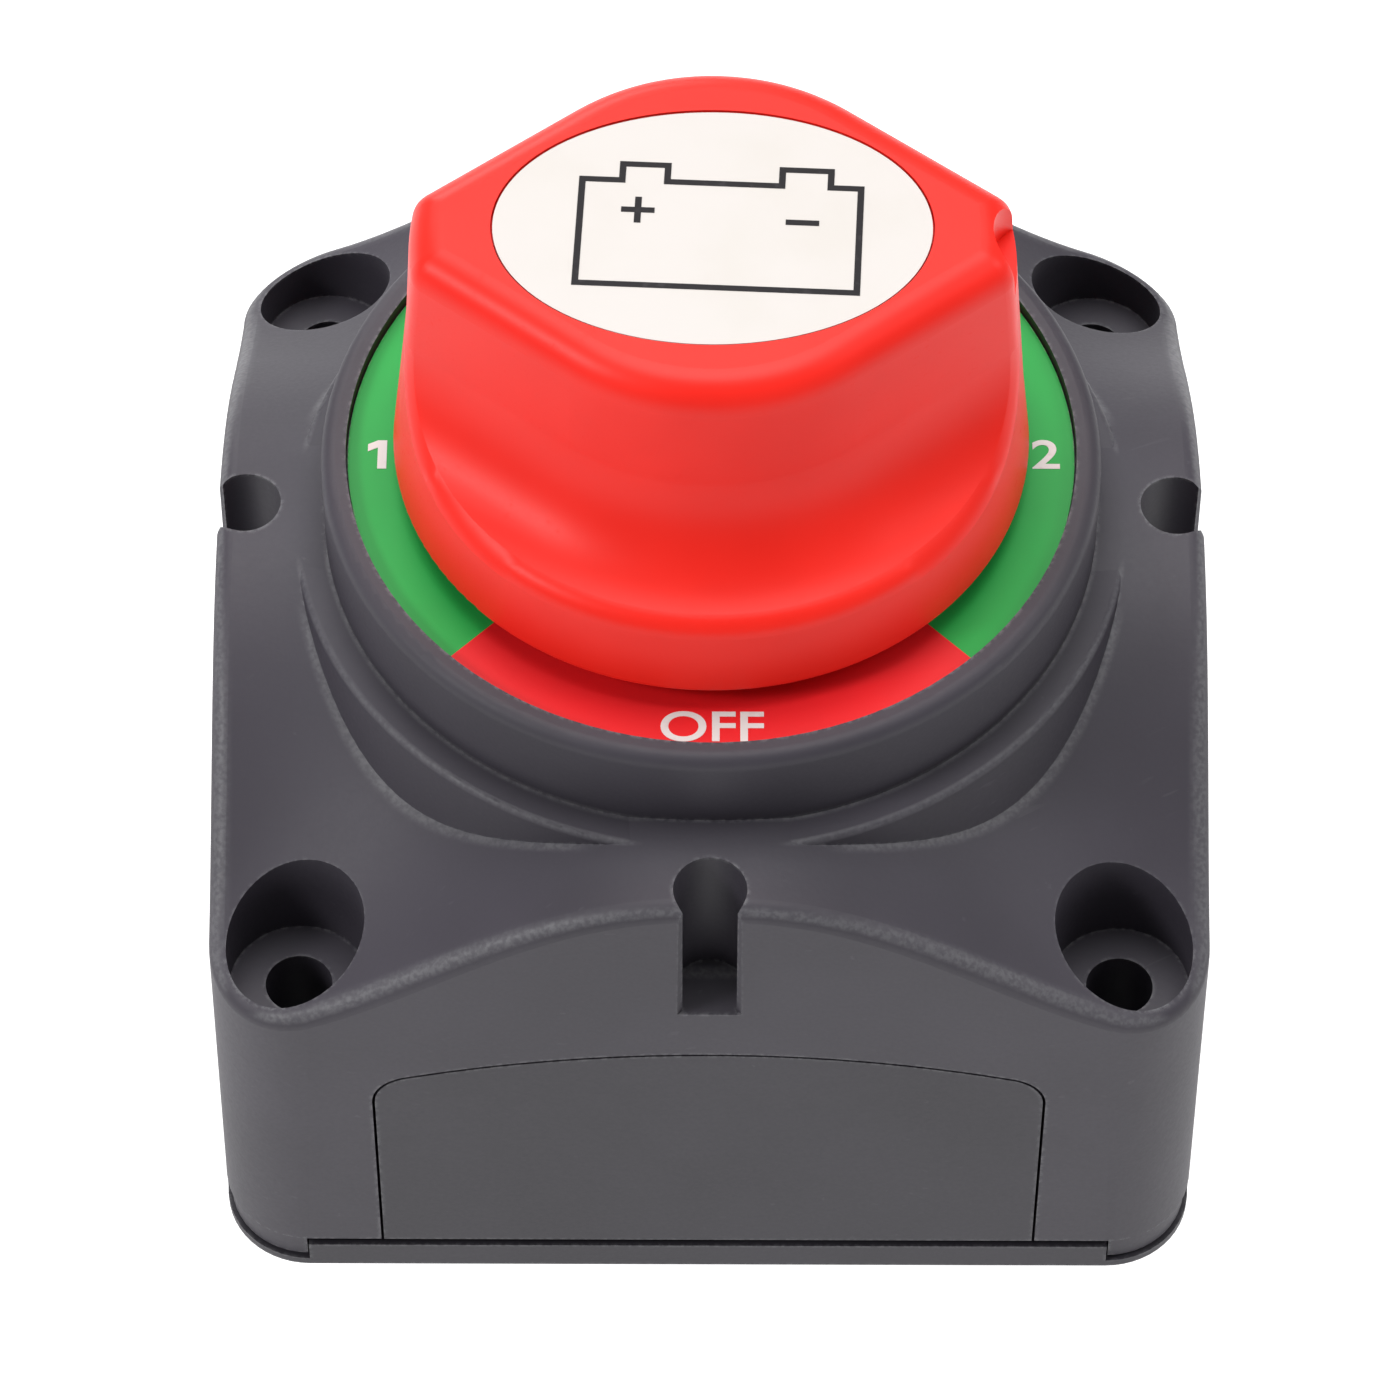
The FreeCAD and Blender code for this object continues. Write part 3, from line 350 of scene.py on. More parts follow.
@dataclass(frozen=True)
class GlossyPlastic:
    """Coloured plastic from a polished mould, with a faint ripple and hairline rubs."""

    name: str
    tone: Colour
    deep: Colour
    roughness: float = 0.40
    ripple_mm: float = 5.0
    ripple_depth_mm: float = 0.010

    def paint(self) -> bpy.types.Material:
        """Lays out the material."""
        p = Paint(self.name)
        flow = p.noise(11.0, 2.0)
        ripple = p.noise(self.ripple_mm, 2.0)
        fine = p.noise(0.18, 2.0)
        hair_at = p.place(turn=(12.0, 8.0, 61.0), stretch=(40.0, 1.0, 1.0))
        hairs = p.noise(0.35, 1.0, hair_at).rise(0.70, 0.74)
        colour = p.blend(flow.rise(0.25, 0.75), self.deep, self.tone)
        rough = self.roughness + (fine - 0.5) * 0.08 + hairs * 0.10
        relief = p.bump(ripple, self.ripple_depth_mm)
        relief = p.bump(fine - hairs * 0.3, 0.0012, relief)
        return p.finish(Base_Color=colour, Roughness=rough, Normal=relief,
                        Specular_IOR_Level=0.26, Subsurface_Weight=0.08,
                        Subsurface_Radius=(0.0016, 0.0005, 0.0004))


@dataclass(frozen=True)
class PrintedRing:
    """Satin ring printed red where the switch is off and green everywhere else."""

    name: str
    off_tone: Colour
    on_tone: Colour
    off_half_angle: float = 45.0

    def paint(self) -> bpy.types.Material:
        """Lays out the material."""
        p = Paint(self.name)
        x, y, _ = p.parts(p.place())
        angle = x.maths("ARCTAN2", x, -y)
        off = abs(angle) < math.radians(self.off_half_angle)
        print_grain = p.noise(0.25, 3.0)
        cloud = p.noise(7.0, 3.0)
        solid = p.blend(off, self.on_tone, self.off_tone)
        shade = p.blend(cloud.rise(0.2, 0.8) * 0.10, solid, (0.02, 0.02, 0.02))
        chips = p.edges(0.25).rise(0.05, 0.4) * p.noise(0.5, 4.0).rise(0.5, 0.6)
        colour = p.blend(chips * 0.35, shade, (0.55, 0.55, 0.52))
        rough = 0.42 + (print_grain - 0.5) * 0.12
        return p.finish(Base_Color=colour, Roughness=rough, Specular_IOR_Level=0.25,
                        Normal=p.bump(print_grain, 0.004))


@dataclass(frozen=True)
class Ink:
    """Screen-printed ink, a little uneven where the mesh left it."""

    name: str
    tone: Colour
    thin: Colour
    roughness: float = 0.45

    def paint(self) -> bpy.types.Material:
        """Lays out the material."""
        p = Paint(self.name)
        mesh_at = p.place(turn=(0.0, 0.0, 22.0))
        uneven = p.noise(0.9, 4.0)
        weave = p.cells(0.12, mesh_at)
        colour = p.blend(uneven.rise(0.55, 0.75) * 0.5, self.tone, self.thin)
        return p.finish(Base_Color=colour, Roughness=self.roughness + (uneven - 0.5) * 0.15,
                        Specular_IOR_Level=0.15, Normal=p.bump(weave, 0.003))


@dataclass(frozen=True)
class LabelStock:
    """Smooth warm white label with a satin varnish."""

    name: str
    tone: Colour
    shade: Colour

    def paint(self) -> bpy.types.Material:
        """Lays out the material."""
        p = Paint(self.name)
        cloud = p.noise(6.0, 4.0)
        fine = p.noise(0.16, 2.0)
        colour = p.blend(cloud.rise(0.35, 0.8), self.tone, self.shade)
        return p.finish(Base_Color=colour, Roughness=0.34 + (fine - 0.5) * 0.1,
                        Normal=p.bump(fine, 0.0015), Specular_IOR_Level=0.45)


class Lay(Enum):
    """Which way the tool marks on a metal run."""

    TURNED = "turned"
    ROLLED = "rolled"
    DRAWN = "drawn"


@dataclass(frozen=True)
class BareMetal:
    """Metal with tool marks, handling smudges and darker tarnish in patches."""

    name: str
    tone: Colour
    tarnish: Colour
    lay: Lay
    roughness: float = 0.32
    tarnish_share: float = 0.45
    mark_depth_mm: float = 0.003

    def paint(self) -> bpy.types.Material:
        """Lays out the material."""
        p = Paint(self.name)
        stretch = {Lay.TURNED: (60.0, 60.0, 1.0), Lay.ROLLED: (50.0, 1.0, 1.0),
                   Lay.DRAWN: (1.0, 1.0, 30.0)}[self.lay]
        marks = p.noise(0.14, 3.0, p.place(stretch=stretch))
        patches = p.noise(5.0, 5.0)
        smudge = p.noise(2.2, 3.0)
        dark = patches.rise(0.42, 0.70) * self.tarnish_share
        bright = p.edges(0.3).rise(0.05, 0.4)
        colour = p.blend(dark * (1.0 - bright), self.tone, self.tarnish)
        rough = self.roughness + (smudge - 0.5) * 0.22 + dark * 0.15 + (marks - 0.5) * 0.12
        return p.finish(Base_Color=colour, Metallic=1.0, Roughness=rough,
                        Normal=p.bump(marks, self.mark_depth_mm))


@dataclass(frozen=True)
class FilledNylon:
    """Dark reinforced plastic with short fibres showing at the skin."""

    name: str
    tone: Colour
    fibre: Colour
    roughness: float = 0.48

    def paint(self) -> bpy.types.Material:
        """Lays out the material."""
        p = Paint(self.name)
        along = p.noise(0.10, 1.0, p.place(turn=(0.0, 0.0, 35.0), stretch=(14.0, 1.0, 1.0)))
        across = p.noise(0.10, 1.0, p.place(turn=(0.0, 0.0, -48.0), stretch=(14.0, 1.0, 1.0)))
        fibres = along.rise(0.66, 0.74) | across.rise(0.68, 0.75)
        cloud = p.noise(4.0, 4.0)
        paler_edges = p.edges(0.4).rise(0.05, 0.4)
        colour = p.blend(fibres * 0.45 | paler_edges * 0.30, self.tone, self.fibre)
        rough = self.roughness + (cloud - 0.5) * 0.2
        return p.finish(Base_Color=colour, Roughness=rough,
                        Normal=p.bump(fibres * 0.5 + cloud * 0.5, 0.006))


@dataclass(frozen=True)
class SealRubber:
    """Soft black rubber with a dull greased skin."""

    name: str
    tone: Colour

    def paint(self) -> bpy.types.Material:
        """Lays out the material."""
        p = Paint(self.name)
        bloom = p.noise(1.2, 4.0)
        colour = p.blend(bloom.rise(0.45, 0.8) * 0.4, self.tone, (0.09, 0.09, 0.085))
        return p.finish(Base_Color=colour, Roughness=0.55 + (bloom - 0.5) * 0.3,
                        Normal=p.bump(p.noise(0.2, 3.0), 0.004))


@dataclass(frozen=True)
class StudioPaper:
    """White seamless paper that gives off light of its own, so that no shadow shows."""

    name: str
    tone: Colour
    glow: float = 0.90

    def paint(self) -> bpy.types.Material:
        """Lays out the material."""
        p = Paint(self.name)
        tooth = p.noise(1.5, 4.0)
        off_white = tuple(c * 0.985 for c in self.tone)
        return p.finish(Base_Color=p.blend(tooth, off_white, self.tone),
                        Roughness=0.85 + (tooth - 0.5) * 0.1, Specular_IOR_Level=0.15,
                        Emission_Color=(1.0, 1.0, 1.0), Emission_Strength=self.glow,
                        Normal=p.bump(tooth, 0.01))


# ------------------------------------------------------------------ the bench
class Bench:
    """Edit-mode work as done by hand, with everything picked by its place."""

    @staticmethod
    def clear() -> None:
        """Leaves edit mode and deselects everything."""
        if bpy.context.object is not None and bpy.context.object.mode != "OBJECT":
            bpy.ops.object.mode_set(mode="OBJECT")
        bpy.ops.object.select_all(action="DESELECT")

    @staticmethod
    def take(piece: bpy.types.Object) -> None:
        """Selects one piece alone and makes it the active one."""
        Bench.clear()
        piece.select_set(True)
        bpy.context.view_layer.objects.active = piece

    @staticmethod
    def open(piece: bpy.types.Object, domain: str = "FACE") -> None:
        """Opens a piece in edit mode, with nothing picked, to pick faces, edges or verts."""
        Bench.take(piece)
        bpy.ops.object.mode_set(mode="EDIT")
        bpy.ops.mesh.select_mode(type=domain)
        bpy.ops.mesh.select_all(action="DESELECT")

    @staticmethod
    def pick_edges(piece: bpy.types.Object, test: Callable[[Vector], bool]) -> None:
        """Picks the edges whose middles pass a test, and drops the rest.

        Args:
            piece: the piece that is open in edit mode.
            test: says yes or no to the middle of one edge.
        """
        bpy.ops.mesh.select_mode(type="EDGE")
        bpy.ops.mesh.select_all(action="DESELECT")
        mesh = bmesh.from_edit_mesh(piece.data)
        picked = [edge for edge in mesh.edges
                  if test((edge.verts[0].co + edge.verts[1].co) / 2)]
        for edge in picked:
            edge.select_set(True)
        mesh.select_flush_mode()
        bmesh.update_edit_mesh(piece.data)

    @staticmethod
    def close(piece: bpy.types.Object, smooth_angle: float = 35.0) -> None:
        """Merges doubles, turns faces outwards, and leaves edit mode with smooth shading."""
        bpy.ops.mesh.select_all(action="SELECT")
        bpy.ops.mesh.remove_doubles(threshold=DOUBLES)
        bpy.ops.mesh.normals_make_consistent(inside=False)
        bpy.ops.object.mode_set(mode="OBJECT")
        bpy.ops.object.transform_apply(location=True, rotation=True, scale=True)
        bpy.ops.object.shade_smooth_by_angle(angle=math.radians(smooth_angle))

    @staticmethod
    def dress(piece: bpy.types.Object, material: bpy.types.Material) -> None:
        """Gives a new piece its only material."""
        piece.data.materials.clear()
        piece.data.materials.append(material)

    @staticmethod
    def coat(node: str, material: bpy.types.Material) -> None:
        """Gives a frame node a new finish and leaves its shape alone."""
        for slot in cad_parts[node].material_slots:
            slot.material = material
        LOG.info("%s: %s", node, material.name)


# ------------------------------------------------------------------ sub-assemblies
@dataclass
class Lettering:
    """A short word printed on a level face, as a thin layer of ink."""

    word: str
    name: str
    centre: tuple[float, float]
    height_mm: float
    ink_mm: float = 0.03
    boldness: float = 0.014
    widen: float = 1.18

    def build(self, level: float, ink: bpy.types.Material) -> bpy.types.Object:
        """Makes the word as a closed mesh.

        Args:
            level: height of the face that it is printed on.
            ink: its finish.

        Returns:
            The finished piece.
        """
        Bench.clear()
        bpy.ops.object.text_add(location=ORIGIN)
        piece = bpy.context.object
        piece.name = self.name
        piece.data.body = self.word
        piece.data.resolution_u = 8
        piece.data.offset = self.boldness
        piece.data.extrude = 0.01
        bpy.ops.object.convert(target="MESH")
        piece = bpy.context.object
        corners = [Vector(corner) for corner in piece.bound_box]
        low = Vector(min(c[i] for c in corners) for i in range(3))
        high = Vector(max(c[i] for c in corners) for i in range(3))
        size = self.height_mm * MM / (high.y - low.y)
        thick = self.ink_mm * MM / (high.z - low.z)
        middle = (low + high) / 2
        piece.scale = (size * self.widen, size, thick)
        piece.location = (self.centre[0] * MM - middle.x * size * self.widen,
                          self.centre[1] * MM - middle.y * size,
                          level - low.z * thick)
        bpy.ops.object.transform_apply(location=True, rotation=True, scale=True)
        bpy.ops.object.mode_set(mode="EDIT")
        Bench.close(piece)
        Bench.dress(piece, ink)
        return piece


@dataclass
class FigureOne:
    """The figure 1 in heavy strokes, with its flag, printed like the words."""

    name: str
    centre: tuple[float, float]
    height_mm: float
    stroke_mm: float = 0.62
    flag_mm: tuple[float, float] = (0.68, 0.62)
    flag_fall: float = 0.55
    ink_mm: float = 0.03

    def build(self, level: float, ink: bpy.types.Material) -> bpy.types.Object:
        """Makes the figure as a closed mesh.

        Args:
            level: height of the face that it is printed on.
            ink: its finish.

        Returns:
            The finished piece.
        """
        Bench.clear()
        where = (self.centre[0] * MM, self.centre[1] * MM, level)
        bpy.ops.mesh.primitive_plane_add(size=1.0, location=where)
        piece = bpy.context.object
        piece.name = self.name
        piece.scale = (self.stroke_mm * MM, self.height_mm * MM, 1.0)
        bpy.ops.object.transform_apply(location=True, rotation=True, scale=True)
        Bench.open(piece)
        bpy.ops.mesh.select_all(action="SELECT")
        flag_foot = (self.centre[1] + self.height_mm / 2 - self.flag_mm[1]) * MM
        bpy.ops.mesh.bisect(plane_co=(0.0, flag_foot, level), plane_no=(0.0, 1.0, 0.0))
        left = (self.centre[0] - self.stroke_mm / 2) * MM
        Bench.pick_edges(piece, lambda middle: abs(middle.x - left) < TOUCHING
                         and middle.y > flag_foot)
        fall = -self.flag_mm[1] * MM * self.flag_fall
        bpy.ops.mesh.extrude_region_move(
            TRANSFORM_OT_translate={"value": (-self.flag_mm[0] * MM, fall, 0.0)})
        bpy.ops.mesh.select_all(action="SELECT")
        bpy.ops.mesh.extrude_region_move(
            TRANSFORM_OT_translate={"value": (0.0, 0.0, self.ink_mm * MM)})
        Bench.close(piece)
        Bench.dress(piece, ink)
        return piece


@dataclass
class Enclosure:
    """Housing, cover and the four side plates."""

    plates: tuple[str, ...] = ("front", "right", "rear", "left")
    rim_mm: float = 1.84
    ledge_mm: float = 2.16
    collar_rise_mm: float = 7.3
    crown_inset_mm: float = 0.45

    def build(self) -> None:
        """Dresses the moulded shells."""
        dial_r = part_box("dial_label")[1].x / MM
        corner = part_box("housing")[1] / MM
        body = HousingPlastic("charcoal_housing", (0.039, 0.0345, 0.046),
                              collar_mm=dial_r + self.rim_mm,
                              ledge_mm=dial_r + self.rim_mm + self.ledge_mm,
                              ledge_z_mm=corner.z - self.collar_rise_mm,
                              half_mm=corner.x - self.crown_inset_mm)
        Bench.coat("housing", body.paint())
        cover = MouldedPlastic("charcoal_cover", (0.0295, 0.0266, 0.035), pale_wear_and_highlight=0.4).paint()
        Bench.coat("back_cover", cover)
        for side in self.plates:
            Bench.coat("side_plate_" + side, cover)


@dataclass
class Dial:
    """Printed ring and its words."""

    words: tuple[Lettering | FigureOne, ...] = (
        Lettering("OFF", "word_off", (0.1, -23.1), 2.47),
        FigureOne("word_one", (-22.5, -0.3), 2.45),
        Lettering("2", "word_two", (22.9, -0.1), 2.5),
        Lettering("1+2", "word_both", (0.0, 23.1), 2.4),
    )

    def build(self) -> None:
        """Dresses the ring and prints the words on it."""
        ring = PrintedRing("dial_red_and_green", (0.78, 0.012, 0.016), (0.018, 0.37, 0.062))
        Bench.coat("dial_label", ring.paint())
        ink = Ink("dial_white_ink", (0.70, 0.66, 0.64), (0.62, 0.50, 0.48)).paint()
        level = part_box("dial_label")[1].z
        for word in self.words:
            piece = word.build(level, ink)
            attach(piece, "housing")
            LOG.info("%s: printed", piece.name)


@dataclass
class Pictogram:
    """Outline of a battery with its two signs, in thin dark ink on the knob's label."""

    centre: tuple[float, float] = (0.4, -0.74)
    width_mm: float = 18.8
    height_mm: float = 9.3
    turn: float = -2.6
    line_mm: float = 0.44
    ink_mm: float = 0.03
    terminals_mm: tuple[tuple[float, float], ...] = ((-6.78, -3.37), (3.75, 7.4))
    terminal_rise_mm: float = 1.4
    plus_at: tuple[float, float] = (-5.4, 1.93)
    minus_at: tuple[float, float] = (5.43, 1.34)
    sign_mm: float = 2.2

    def build(self, level: float, ink: bpy.types.Material) -> list[bpy.types.Object]:
        """Makes the outline and the two signs.

        Args:
            level: height of the label's face.
            ink: their finish.

        Returns:
            The finished pieces.
        """
        pieces = [self._outline(level)]
        pieces.append(self._sign("sign_plus", self.plus_at, level, crossed=True))
        pieces.append(self._sign("sign_minus", self.minus_at, level, crossed=False))
        for piece in pieces:
            Bench.dress(piece, ink)
        return pieces

    def _plate(self, name: str, width_mm: float, height_mm: float, level: float,
               at: tuple[float, float] = (0.0, 0.0)) -> bpy.types.Object:
        """Adds a flat rectangle round a place given from the pictogram's centre."""
        Bench.clear()
        where = ((self.centre[0] + at[0]) * MM, (self.centre[1] + at[1]) * MM, level)
        bpy.ops.mesh.primitive_plane_add(size=1.0, location=where)
        piece = bpy.context.object
        piece.name = name
        piece.scale = (width_mm * MM, height_mm * MM, 1.0)
        bpy.ops.object.transform_apply(location=True, rotation=True, scale=True)
        return piece

    def _lift(self, piece: bpy.types.Object) -> None:
        """Gives the flat drawing its ink thickness, turns it and closes it."""
        bpy.ops.mesh.select_all(action="SELECT")
        bpy.ops.mesh.extrude_region_move(
            TRANSFORM_OT_translate={"value": (0.0, 0.0, self.ink_mm * MM)})
        bpy.ops.mesh.select_all(action="SELECT")
        pivot = (self.centre[0] * MM, self.centre[1] * MM, 0.0)
        bpy.ops.transform.rotate(value=-math.radians(self.turn), orient_axis="Z",
                                 center_override=pivot)
        Bench.close(piece)

    def _outline(self, level: float) -> bpy.types.Object:
        """The battery's body with its two terminals, as one closed line."""
        piece = self._plate("battery_outline", self.width_mm, self.height_mm, level)
        Bench.open(piece)
        for pair in self.terminals_mm:
            for x in pair:
                bpy.ops.mesh.select_all(action="SELECT")
                cut = ((self.centre[0] + x) * MM, 0.0, level)
                bpy.ops.mesh.bisect(plane_co=cut, plane_no=(1.0, 0.0, 0.0))
        top = (self.centre[1] + self.height_mm / 2) * MM

        def on_terminal(middle: Vector) -> bool:
            """Whether the edge with this middle carries a terminal."""
            x = middle.x / MM - self.centre[0]
            inside = any(low < x < high for low, high in self.terminals_mm)
            return inside and abs(middle.y - top) < TOUCHING

        Bench.pick_edges(piece, on_terminal)
        bpy.ops.mesh.extrude_region_move(
            TRANSFORM_OT_translate={"value": (0.0, self.terminal_rise_mm * MM, 0.0)})
        bpy.ops.mesh.select_mode(type="FACE")
        bpy.ops.mesh.select_all(action="SELECT")
        bpy.ops.mesh.inset(thickness=self.line_mm * MM, use_boundary=True)
        bpy.ops.mesh.delete(type="FACE")
        self._lift(piece)
        return piece

    def _sign(self, name: str, at: tuple[float, float], level: float,
              crossed: bool) -> bpy.types.Object:
        """One sign: a bar, with an upright pulled out of its middle if crossed."""
        piece = self._plate(name, self.sign_mm, self.line_mm, level, at)
        Bench.open(piece)
        if crossed:
            middle_x, middle_y = (self.centre[0] + at[0]) * MM, (self.centre[1] + at[1]) * MM
            half = self.line_mm * MM / 2
            for side in (-half, half):
                bpy.ops.mesh.select_all(action="SELECT")
                bpy.ops.mesh.bisect(plane_co=(middle_x + side, 0.0, level),
                                    plane_no=(1.0, 0.0, 0.0))
            reach = (self.sign_mm - self.line_mm) * MM / 2
            for side in (-1, 1):
                Bench.pick_edges(piece, lambda middle: abs(middle.x - middle_x) < TOUCHING
                                 and abs(middle.y - middle_y - side * half) < TOUCHING)
                bpy.ops.mesh.extrude_region_move(
                    TRANSFORM_OT_translate={"value": (0.0, side * reach, 0.0)})
        self._lift(piece)
        return piece


class Knob:
    """Pointer knob, its label and the drawing on it."""

    def build(self) -> None:
        """Dresses the knob and prints its label."""
        red = GlossyPlastic("signal_red_knob", (0.90, 0.020, 0.011), (0.84, 0.016, 0.008))
        Bench.coat("knob", red.paint())
        stock = LabelStock("label_warm_white", (0.605, 0.566, 0.538), (0.585, 0.546, 0.510))
        Bench.coat("knob_label", stock.paint())
        ink = Ink("label_dark_ink", (0.014, 0.012, 0.014), (0.05, 0.045, 0.05)).paint()
        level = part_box("knob_label")[1].z
        for piece in Pictogram().build(level, ink):
            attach(piece, "knob")
            LOG.info("%s: printed", piece.name)


class TurningGear:
    """Rotor with its seal, washer, bridge and springs."""

    def build(self) -> None:
        """Dresses the pieces that turn inside."""
        Bench.coat("rotor", FilledNylon("rotor_nylon", (0.022, 0.022, 0.024),
                                        (0.13, 0.13, 0.13)).paint())
        Bench.coat("shaft_seal", SealRubber("seal_rubber", (0.02, 0.02, 0.02)).paint())
        steel = BareMetal("spring_steel", (0.58, 0.57, 0.55), (0.30, 0.28, 0.26), Lay.DRAWN)
        spring = steel.paint()
        Bench.coat("contact_springs", spring)
        coils = CoilSprings().build(spring)
        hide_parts("contact_springs")
        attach(coils, "rotor")
        LOG.info("%s: wound", coils.name)
        Bench.coat("detent_springs", spring)
        copper = BareMetal("rolled_copper", (0.80, 0.42, 0.27), (0.34, 0.14, 0.09),
                           Lay.ROLLED, tarnish_share=0.6).paint()
        for node in ("contact_bridge", "contact_pad_1", "contact_pad_2", "common_contact"):
            Bench.coat(node, copper)


@dataclass
class ThreadedStud:
    """Terminal stud: square head, plain neck and a real thread down to its end."""

    node: str
    pitch_mm: float = 1.5
    depth_mm: float = 0.75
    profile: tuple[float, float, float] = (0.42, 0.12, 0.46)
    spare_turns: int = 2
    neck_mm: float = 6.0
    neck_relief_mm: float = 0.06
    neck_lap_mm: float = 0.4
    head_mm: float = 3.0
    head_skin_mm: float = 0.5
    head_overhang_mm: float = 2.0
    head_bevel_mm: float = 0.25
    steps: int = 40
    neck_sides: int = 64
    smooth_angle: float = 30.0
    low: Vector = field(init=False)
    high: Vector = field(init=False)
    middle: Vector = field(init=False)
    head_half: float = field(init=False)
    shank_r: float = field(init=False)

    def __post_init__(self) -> None:
        """Takes the stud's place and widths from its frame node."""
        self.low, self.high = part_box(self.node)
        self.middle = (self.low + self.high) / 2
        self.head_half = (self.high.x - self.low.x) / 2
        self.shank_r = self.head_half - self.head_overhang_mm * MM

    def build(self, metal: bpy.types.Material) -> bpy.types.Object:
        """Makes the stud that stands in for its plain frame node.

        Args:
            metal: its finish.

        Returns:
            The finished piece.
        """
        top = self.high.z
        thread_top = top - self.neck_mm * MM
        piece = self._thread(self.low.z, thread_top)
        self._join(piece, self._neck(thread_top - self.neck_lap_mm * MM,
                                     top - self.head_skin_mm * MM))
        self._join(piece, self._head(top - self.head_mm * MM, top))
        Bench.open(piece)
        Bench.close(piece, self.smooth_angle)
        Bench.dress(piece, metal)
        return piece

    def _thread(self, bottom: float, top: float) -> bpy.types.Object:
        """Winds the thread from one flank and cuts its two ends level."""
        pitch, depth = self.pitch_mm * MM, self.depth_mm * MM
        Bench.clear()
        bpy.ops.mesh.primitive_plane_add(size=pitch, location=ORIGIN)
        piece = bpy.context.object
        piece.name = self.node + "_threaded"
        Bench.open(piece, "VERT")
        bpy.ops.mesh.select_all(action="SELECT")
        bpy.ops.mesh.merge(type="CENTER")
        start = (self.shank_r - depth, 0.0, bottom - self.spare_turns * pitch)
        bpy.ops.transform.translate(value=start)
        outwards, crest, inwards = self.profile
        for move in ((depth, 0.0, pitch * outwards), (0.0, 0.0, pitch * crest),
                     (-depth, 0.0, pitch * inwards)):
            bpy.ops.mesh.extrude_vertices_move(TRANSFORM_OT_translate={"value": move})
        bpy.ops.object.mode_set(mode="OBJECT")
        winding = piece.modifiers.new("winding", "SCREW")
        winding.screw_offset = pitch
        winding.iterations = int((top - bottom) / pitch) + 2 * self.spare_turns
        winding.steps = winding.render_steps = self.steps
        winding.use_merge_vertices = True
        winding.merge_threshold = WELD
        Bench.take(piece)
        bpy.ops.object.modifier_apply(modifier=winding.name)
        Bench.open(piece)
        for height, keep_below in ((bottom, False), (top, True)):
            bpy.ops.mesh.select_all(action="SELECT")
            bpy.ops.mesh.bisect(plane_co=(0.0, 0.0, height), plane_no=(0.0, 0.0, 1.0),
                                use_fill=True, clear_inner=not keep_below,
                                clear_outer=keep_below, threshold=TOUCHING)
        bpy.ops.mesh.select_all(action="SELECT")
        bpy.ops.transform.translate(value=(self.middle.x, self.middle.y, 0.0))
        Bench.close(piece, self.smooth_angle)
        return piece

    def _neck(self, bottom: float, top: float) -> bpy.types.Object:
        """Plain round length between the thread and the head."""
        Bench.clear()
        where = (self.middle.x, self.middle.y, (bottom + top) / 2)
        radius = self.shank_r - self.neck_relief_mm * MM
        bpy.ops.mesh.primitive_cylinder_add(vertices=self.neck_sides, radius=radius,
                                            depth=top - bottom, location=where)
        return bpy.context.object

    def _head(self, bottom: float, top: float) -> bpy.types.Object:
        """Square head with broken edges."""
        Bench.clear()
        where = (self.middle.x, self.middle.y, (bottom + top) / 2)
        bpy.ops.mesh.primitive_cube_add(size=1.0, location=where)
        head = bpy.context.object
        head.scale = (2 * self.head_half, 2 * self.head_half, top - bottom)
        bpy.ops.object.transform_apply(location=True, rotation=True, scale=True)
        Bench.open(head, "EDGE")
        bpy.ops.mesh.select_all(action="SELECT")
        bpy.ops.mesh.bevel(offset=self.head_bevel_mm * MM, segments=2)
        Bench.close(head)
        return head

    @staticmethod
    def _join(piece: bpy.types.Object, other: bpy.types.Object) -> None:
        """Fuses another closed piece into this one."""
        Bench.take(piece)
        union = piece.modifiers.new("union", "BOOLEAN")
        union.operation = "UNION"
        union.object = other
        bpy.ops.object.modifier_apply(modifier=union.name)
        bpy.data.objects.remove(other)


